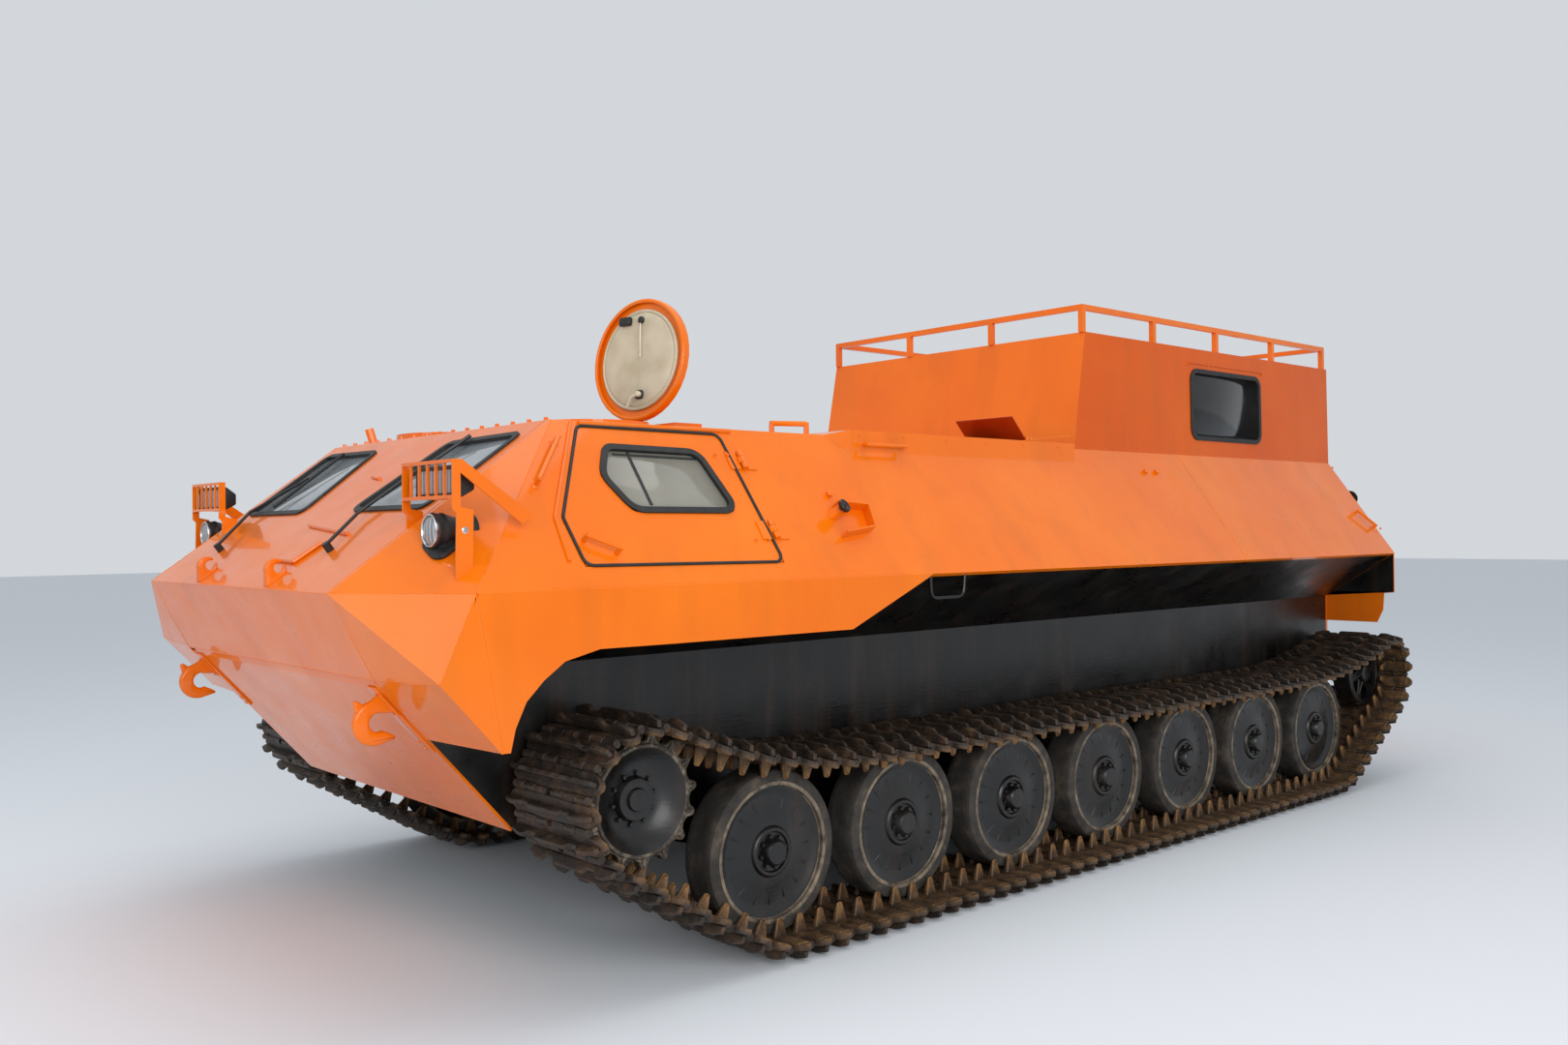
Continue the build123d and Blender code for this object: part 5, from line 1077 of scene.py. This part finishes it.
# Headlamp half sections, as (reach back from the lens's edge, radius)
LAMP_PLACE = at(1150, 290, 1690)
LAMP_RIM = [(16, 50), (-2, 50), (-6, 52), (-7, 55), (-4, 58.5), (4, 59), (16, 57)]
LAMP_BOWL = [(3, 50), (14, 44), (30, 31), (40, 15), (43, 0), (46, 0), (43, 16), (32, 33), (15, 47), (4, 51)]
LAMP_BOOT = [(2, 55), (2, 59.5), (5, 62), (12, 62), (15, 59), (34, 59), (37, 61), (44, 61), (48, 58),
             (66, 53), (84, 47), (92, 47), (96, 44), (116, 41), (134, 41), (146, 50), (152, 58), (156, 58),
             (156, 0), (60, 0), (48, 36), (10, 51)]
LAMP_NECK = [(0, 40), (0, 66), (14, 62), (24, 52), (40, 46), (52, 44), (52, 40)]
LENS_R, LENS_RISE, LENS_FLUTE = 50, 11, 0.011


def headlamps():
    """Each headlamp: a ribbed lens in a chrome rim, in a rubber boot that flares onto its flange."""
    rim = turned("headlamp_rim", LAMP_RIM, LAMP_PLACE, BACK, steps=56)
    bowl = turned("headlamp_bowl", LAMP_BOWL, LAMP_PLACE, BACK, steps=40)
    dome = [(2 - LENS_RISE * (1 - (r / LENS_R) ** 2) ** 0.5, r)
            for r in (50, 46, 40, 34, 28, 22, 16, 10, 5, 0)]
    lens = turned("headlamp_lens", dome + [(-6, 0), (0, 36), (4, 50)], LAMP_PLACE, BACK, steps=72)
    for vertex in lens.data.vertices:
        vertex.co.y += 0.0007 * math.sin((vertex.co.x - LAMP_PLACE.x) * math.tau / LENS_FLUTE)
    flange = soft_loop([on_quarter(*p) for p in rectangle(1088, 285, 1212, 408)], 40, 5)
    parts = [turned("headlamp_boot", LAMP_BOOT, LAMP_PLACE, BACK, steps=48),
             plate("base", flange, QUARTER_OUT * 0.013, 4, 2),
             turned("neck", LAMP_NECK, on_quarter(1150, 345, 8), QUARTER_OUT, BACK, 40)]
    parts += [bolt(on_quarter(*p, 13), QUARTER_OUT, 5, 5) for p in rectangle(1103, 300, 1197, 393)]
    both_sides(join("headlamp_boot", parts), "black_rubber", node="headlamps", angle=45)
    for piece in (rim, bowl):
        both_sides(piece, "black_plastic", node="headlamps", material=CHROME, angle=45)
    both_sides(lens, "window_glass", node="headlamp_lenses", material=LAMP_GLASS, angle=60)


def work_lamps():
    """A flat rectangular lamp behind each grille: rounded housing, bezel, ribbed glass, hinge screws."""
    low, high, front = 1802.0, 1910.0, 307.0
    side = [(front + 6, low), (front + 34, low), (front + 80, low + 25), (front + 80, high - 35),
            (front + 34, high), (front + 6, high)]

    def face(inset, radius):
        return soft_loop([at(x, front, z) for x, z in rectangle(1010 + inset, low + inset, 1290 - inset,
                                                                high - inset)], radius, 4)
    inner = face(14, 9)
    parts = [slab("housing", 1012, 1288, side, 7, 3),
             ring_plate("bezel", face(0, 14), inner, (0, 0.010, 0), 2)]
    glass = plate("work_lamp_glass", [p + BACK * 0.003 for p in inner], (0, 0.006, 0), 1, 1)
    edit(glass)
    bpy.ops.mesh.subdivide(number_cuts=1)
    close(glass)
    parts += [bolt(at(x, front, z), -BACK, 3.2, 2.5) for x in (1017, 1283) for z in (1815, 1897)]
    both_sides(join("work_lamp", parts), "black_plastic", node="work_lamps", angle=40)
    both_sides(glass, "window_glass", node="work_lamps", material=LAMP_GLASS, angle=40)
    fixings = [bolt(at(1323, 330, 1690), OUT, 8, 7), bolt(at(947, 330, 1690), -OUT, 7, 6)]
    fixings += [bolt(at(x, 345, 1804), -UP, 6, 5) for x in (1070, 1230)]
    both_sides(join("guard_bolts", fixings), "orange_paint", material=CHROME)


# The round hatch: its hinge axis is turned by 10 degrees, and it stands open by 96.5 degrees
HATCH_TURN, HATCH_OPEN = math.radians(10), math.radians(-96.5)
HATCH_MIDDLE = at(600, 1295, 2109)
HATCH_BACK = Vector((-math.sin(HATCH_TURN), math.cos(HATCH_TURN), 0))
HATCH_AXIS = Vector((math.cos(HATCH_TURN), math.sin(HATCH_TURN), 0))
HATCH_PIVOT = HATCH_MIDDLE + HATCH_BACK * 0.289 + UP * 0.042
HATCH_SWING = (Matrix.Translation(HATCH_PIVOT) @ Matrix.Rotation(HATCH_OPEN, 4, HATCH_AXIS)
               @ Matrix.Translation(-HATCH_PIVOT))
# Half sections of the closed lid, as (height above the roof, radius)
HATCH_RIM = [(17, 257), (14, 262), (14, 268), (17, 273), (22, 275), (34, 275), (34, 268), (24, 258)]
HATCH_PAD = [(36, 0), (36, 226), (31, 229), (24, 228), (20, 224), (19.5, 219), (22, 215), (24, 213),
             (22, 210), (18.5, 200), (17.0, 170), (16.4, 130), (16.2, 80), (16.2, 40), (16.2, 0)]
STITCHES, STITCH_R, STITCH_HIGH = 96, 0.2135, 0.0228
STITCH_OUTLINE, STITCH_THICK = rectangle(-0.0035, -0.0008, 0.0035, 0.0008), 0.0012
DIMPLES, DIMPLE_SPREAD, DIMPLE_SAG = 16, 170, 0.0011


def in_lid(across, forward, height):
    """A point of the closed lid: along its hinge, towards its free edge and above the roof."""
    return HATCH_MIDDLE + (HATCH_AXIS * across - HATCH_BACK * forward + UP * height) * MM


def lid_turned(name, section, centre, steps):
    """A part turned about an upright axis of the closed lid."""
    return turned(name, section, centre, UP, HATCH_AXIS, steps)


def hatch_pad():
    """The lining: a padded disc, sewn down at its edge and sagging a little in dimples."""
    pad = lid_turned("round_hatch_pad", HATCH_PAD, HATCH_MIDDLE, 84)
    rng = random.Random(7)
    wide = DIMPLE_SPREAD
    dimples = [(rng.uniform(-wide, wide), rng.uniform(-wide, wide), rng.uniform(35, 70))
               for _ in range(DIMPLES)]
    for vertex in pad.data.vertices:
        flat = vertex.co - HATCH_MIDDLE
        a, f = flat.dot(HATCH_AXIS) / MM, -flat.dot(HATCH_BACK) / MM
        if flat.z < 0.0195:
            sag = sum(math.exp(-((a - x) ** 2 + (f - y) ** 2) / r ** 2) for x, y, r in dimples)
            vertex.co.z += DIMPLE_SAG * sag
    return pad


def stitching():
    """The seam of single stitches round the lining."""
    stitches = []
    for i in range(STITCHES):
        angle = math.tau * i / STITCHES
        ray = HATCH_AXIS * math.cos(angle) + HATCH_BACK * math.sin(angle)
        side = ray.cross(UP)
        foot = HATCH_MIDDLE + ray * STITCH_R + UP * STITCH_HIGH
        stitches.append(plate("stitch", [foot + side * a + ray * b for a, b in STITCH_OUTLINE],
                              -UP * STITCH_THICK))
    return join("round_hatch_stitching", stitches)


def lid_block(name, corners, radius, steps, deep, bevel):
    """A rounded block on the lid's inside."""
    return plate(name, soft_loop([in_lid(*p, 16) for p in corners], radius, steps), -UP * deep * MM, bevel)


def hatch():
    """The open round hatch: a rolled rim, a padded vinyl lining with a sewn edge, and its latch."""
    rim = lid_turned("round_hatch_rim", HATCH_RIM, HATCH_MIDDLE, 96)
    pad = hatch_pad()
    thread = stitching()
    latch = [lid_block("case", rectangle(-120, 196, -52, 158), 8, 3, 18, 3),
             lid_turned("knob", [(0, 0), (0, 15), (-4, 17), (-10, 16), (-13, 12), (-13, 0)],
                        in_lid(8, 176, 16), 24),
             lid_block("foot", rectangle(6, -140, 50, -180), 12, 4, 8, 2)]
    pull_line = [in_lid(8, 168, 7), in_lid(14, 90, 6), in_lid(20, 8, 8)]
    lever_line = [in_lid(30, -160, 2), in_lid(-8, -172, -3), in_lid(-34, -216, 4)]
    lever = [rod("pull", bend(pull_line, 20), 3.2, 2), rod("lever", bend(lever_line, 18), 6.5, 3),
             lid_turned("boss", [(8, 0), (8, 13), (-6, 13), (-8, 10), (-8, 0)], in_lid(30, -160, 0), 20)]
    for piece, slot, material in ((rim, "orange_paint", None), (pad, "beige_lining", None),
                                  (thread, "beige_lining", THREAD),
                                  (join("round_hatch_latch", latch), "black_plastic", None),
                                  (join("round_hatch_lever", lever), "beige_lining", IVORY)):
        twin = mirrored(piece, piece.name.replace("round", "second"))
        piece.data.transform(HATCH_SWING)
        finish(piece, slot, "round_hatch_body", angle=50, material=material)
        finish(twin, slot, "second_hatch_body", angle=50, material=material)
        if piece is pad:
            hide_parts("round_hatch_lining")


def cushion(name, centre, size, channels, thin=2):
    """A padded cushion: a block cut fine, crowned, drawn in at its corners, with sewn channels."""
    piece = cube(name, 2.0)
    edit(piece)
    bpy.ops.mesh.subdivide(number_cuts=15)
    close(piece)
    half = [l * MM / 2 for l in size]
    first, second = [i for i in range(3) if i != thin]
    for vertex in piece.data.vertices:
        u, v, w = vertex.co[first], vertex.co[second], vertex.co[thin]
        side = max(abs(u), abs(v))
        crown = 0.80 + 0.20 * (1 - abs(u) ** 4) * (1 - abs(v) ** 4)
        edge = 1 - 0.30 * max(0.0, side - 0.72) / 0.28 * (abs(w) > 0.5)
        pulled = 1 - 0.035 * (1 - abs(w)) * side ** 6 * (1 - (min(abs(u), abs(v))) ** 4)
        corner = 1 - 0.06 * (abs(u) * abs(v)) ** 6
        groove = min(abs(u - c) for c in channels)
        dip = 0.10 * math.exp(-(groove / 0.05) ** 2) * (abs(w) > 0.6)
        place = [0.0, 0.0, 0.0]
        place[first] = u * half[first] * pulled * corner
        place[second] = v * half[second] * pulled * corner
        place[thin] = w * half[thin] * crown * edge * (1 - dip)
        vertex.co = place
    smooth = piece.modifiers.new("smooth", "SUBSURF")
    smooth.levels = smooth.render_levels = 1
    only(piece)
    bpy.ops.object.modifier_apply(modifier="smooth")
    piece.data.transform(Matrix.Translation(centre))
    return piece


def piping(centre, size, height, thin=2):
    """The sewn piping round a cushion's edge."""
    first, second = [i for i in range(3) if i != thin]
    corners = []
    for a, b in rectangle(-1, -1, 1, 1):
        point = centre.copy()
        point[first] += a * (size[first] / 2 - 9) * MM
        point[second] += b * (size[second] / 2 - 9) * MM
        point[thin] += height * MM
        corners.append(point)
    return ring_rod("piping", soft_loop(corners, 34, 6), 4, 2)


SEAT_SIZE, BACK_SIZE = (456, 456, 106), (456, 104, 640)
SEAT_X, SEAT_STATION, SEAT_Z, BACK_STATION, BACK_Z = 520, 1250, 1156, 1505, 1425
SEAT_CHANNELS = (-0.33, 0.33)


def seats():
    """Two crew seats: padded cushion and back with sewn channels, on steel pans and pedestals."""
    for side, x in (("left", SEAT_X), ("right", -SEAT_X)):
        low, high = at(x, SEAT_STATION, SEAT_Z), at(x, BACK_STATION, BACK_Z)
        for piece in (cushion("seat_cushion_" + side, low, SEAT_SIZE, SEAT_CHANNELS),
                      cushion("seat_back_" + side, high, BACK_SIZE, SEAT_CHANNELS, thin=1)):
            finish(piece, "seat_cloth", node="crew_seats", angle=180)
        edges = join("seat_piping_" + side, [piping(low, SEAT_SIZE, 28), piping(high, BACK_SIZE, -30, 1)])
        finish(edges, "seat_cloth", node="crew_seats", angle=60, material=SLOT_FINISH["black_rubber"])
        base = [box("pan", at(x, SEAT_STATION, 1098), (440, 440, 14), 4, 2),
                box("post", at(x, SEAT_STATION, 770), (296, 296, 636), 14, 3)]
        base += [box("rail", at(x + s * 170, BACK_STATION, 1110), (30, 60, 60), 6, 2) for s in (-1, 1)]
        finish(join("seat_base_" + side, base), "black_paint", node="crew_seats")


# Turned feet of straps and rails, and the filler cap, as (reach, radius)
BOSS = [(14, 0), (14, 15.5), (17, 16), (20, 13), (20, 0)]
RAIL_FOOT = [(0, 0), (0, 17), (3, 17), (6, 12), (6, 0)]
STRAP_FOOT = [(-2, 0), (-2, 18), (2, 18), (7, 12), (7, 0)]
CAP = [(60, 0), (60, 34), (64, 37), (74, 37), (79, 34), (81, 28), (81, 0)]
CAP_KNOB = [(78, 0), (78, 10), (88, 12), (92, 9), (92, 0)]
CAP_OUT = (0.80, 0.25, 0.55)


def small_trim():
    """Bolts, feet of straps and rails, the filler cap and the loop under the sloped side."""
    parts = [bolt(on_slope(station, 2096, 0.5), SLOPE_OUT, 5.5, 5) for station in (1020, 1260, 1500)]
    for section, spots in ((BOSS, ((2130, 1830), (4732, 1990), (4844, 1990))),
                           (STRAP_FOOT, ((836, 2014), (687, 1851), (6990, 1750), (7110, 1650)))):
        parts += [turned("foot", section, on_slope(*spot), SLOPE_OUT, BACK, 20) for spot in spots]
    parts += [bolt(at(1050, station, 2112), OUT, 6, 5) for station in range(2460, 3961, 300)]
    parts += [turned("foot", RAIL_FOOT, at(1050, station, 2068), OUT, UP, 20) for station in (2475, 2737)]
    parts += [bolt(on_body(station, 2668, 0.5), OUT, 4, 3.5) for station in (5330, 5580, 5830, 6080, 6250)]
    both_sides(join("side_fixings", parts), "orange_paint")
    cap = [turned(name, section, on_slope(2080, 1736, -8), CAP_OUT, UP, steps)
           for name, section, steps in (("cap", CAP, 32), ("cap_knob", CAP_KNOB, 16))]
    finish(join("filler_cap", cap), "black_plastic")
    loop = [at(1405, 2540, 1476), at(1402, 2548, 1372), at(1402, 2763, 1372), at(1405, 2771, 1476)]
    finish(rod("chine_loop", bend(loop, 40, 6), 8, 3), "black_paint")
    hinges = [bolt(on_slope(station + along, z, 9), SLOPE_OUT, 4.5, 4)
              for station, z in ((1640, 1640), (1625, 1990)) for along in (-34, 30)]
    both_sides(join("door_hinge_bolts", hinges), "orange_paint", "side_door_{}_body")


def tail_lamp(place, size):
    """A tail lamp's shell and its domed lens."""
    shell = [(0, 0), (0, size + 8), (4, size + 8), (10, size), (26, size), (30, size - 3), (26, size - 5),
             (26, 0)]
    dome = [(26, 0), (26, size - 5), (32, size - 8), (36, size - 16), (38, size * 0.35), (38.5, 0)]
    return [turned("tail_lamp", section, place, BACK, steps=40) for section in (shell, dome)]


def rear_trim():
    """Tail lamps, rubber beads round the rear doors, bolts, and the black paint inside the flaps."""
    edge = [(953, 1186), (953, 1213), (1355, 1213), (1421, 1220), (1421, 1477)]
    both_sides(plate("flap_paint", [at(x, 7181.5, z) for x, z in edge], (0, 0.002, 0)), "black_paint")
    shells, lenses = zip(tail_lamp(at(1120, 7199, 1860), 46), tail_lamp(at(1150, 7199, 1740), 34))
    both_sides(join("tail_lamp", shells), "black_plastic")
    both_sides(join("tail_lamp_lens", lenses), "window_glass", material=RED_GLASS, angle=60)
    door = soft_loop([at(x, 7202, z) for x, z in rectangle(12, 1006, 522, 2044)], 20, 4)
    both_sides(ring_rod("rear_door_rubber", door, 4.5, 2), "black_rubber", angle=50)
    spots = [(640, 2080), (760, 2080), (880, 2080), (1000, 2080), (1330, 1350), (1330, 1500), (1330, 1650)]
    both_sides(join("rear_bolts", [bolt(at(x, 7200.5, z), BACK, 5, 4) for x, z in spots]), "orange_paint")


def roof_trim():
    """Bolts along the roof's front edge and round the hatches' coamings, and a bead over each window."""
    studs = [bolt(at(x, 880, ROOF[1]), UP, 9, 14) for x in range(60, 960, 125)]
    studs += [bolt(at(x, 2250, ROOF[1]), UP, 5, 5) for x in range(80, 900, 160)]
    for i in range(10):
        angle = math.tau * (i + 0.5) / 10
        if abs(math.degrees(angle) - 100) > 30:
            studs.append(bolt(HATCH_MIDDLE + Vector((math.cos(angle), math.sin(angle), 0)) * 0.310,
                              UP, 4.5, 4))
    both_sides(join("roof_bolts", studs), "orange_paint")
    line = [on_body(5340, 2660, 1), on_body(5352, 2676, 3), on_body(6228, 2676, 3), on_body(6240, 2660, 1)]
    # The lip over the body window takes the body side's painted shade, a darker orange
    both_sides(rod("window_lip", bend(line, 14), 4.5, 2), "orange_paint", material=SHADED_ORANGE)


def studio():
    """A pale floor, a pale surround and soft light."""
    bpy.ops.object.select_all(action="DESELECT")
    bpy.ops.mesh.primitive_plane_add(size=120, location=(0, 0, -0.002))
    floor = bpy.context.object
    floor.name = "studio_floor"
    floor.data.materials.append(Finish("studio_floor").put({"Base Color": colour(0xE2E5E8),
                                                            "Roughness": 0.9}))
    world = bpy.data.worlds.new("studio")
    bpy.context.scene.world = world
    world.use_nodes = True
    tree = world.node_tree
    background = feed(tree, tree.nodes["Background"], {"Color": colour(0xDDE3EA), "Strength": 0.80})
    seen = add(tree, "ShaderNodeBackground", None, {"Color": colour(0xD3D7DB), "Strength": 1.0})
    path = add(tree, "ShaderNodeLightPath").outputs
    either = add(tree, "ShaderNodeMath", {"operation": "MAXIMUM"},
                 {0: path["Is Camera Ray"], 1: path["Is Glossy Ray"]})
    mixed = add(tree, "ShaderNodeMixShader", None,
                {0: either.outputs[0], 1: background.outputs[0], 2: seen.outputs[0]})
    tree.links.new(mixed.outputs[0], tree.nodes["World Output"].inputs["Surface"])
    for name, place, target, size, power in STUDIO_LAMPS:
        data = bpy.data.lights.new(name, "AREA")
        data.shape = "DISK"
        data.size = size
        data.energy = power
        lamp = bpy.data.objects.new(name, data)
        bpy.context.scene.collection.objects.link(lamp)
        lamp.location = place
        lamp.rotation_euler = (Vector(target) - Vector(place)).to_track_quat("-Z", "Y").to_euler()


def camera():
    """The camera at the photograph's place, with its lens and tilt."""
    data = bpy.data.cameras.new("camera")
    data.sensor_width = CAMERA_SENSOR
    data.lens = CAMERA_LENS
    data.clip_end = 200
    made = bpy.data.objects.new("camera", data)
    bpy.context.scene.collection.objects.link(made)
    turn = (Matrix.Rotation(math.radians(CAMERA_YAW), 4, "Z")
            @ Matrix.Rotation(math.radians(90 + CAMERA_PITCH), 4, "X")
            @ Matrix.Rotation(math.radians(CAMERA_ROLL), 4, "Z"))
    made.location = CAMERA_PLACE
    made.rotation_euler = turn.to_euler()
    bpy.context.scene.camera = made


bpy.context.scene.view_settings.view_transform = "Standard"
for step in (camera, studio, finish_nodes, tracks, road_wheels, sprockets, idlers, windows,
             window_dividers, door_rubber, weld_seams, lifting_hook, tow_hook, headlamps, work_lamps,
             hatch, seats, small_trim, rear_trim, roof_trim):
    step()
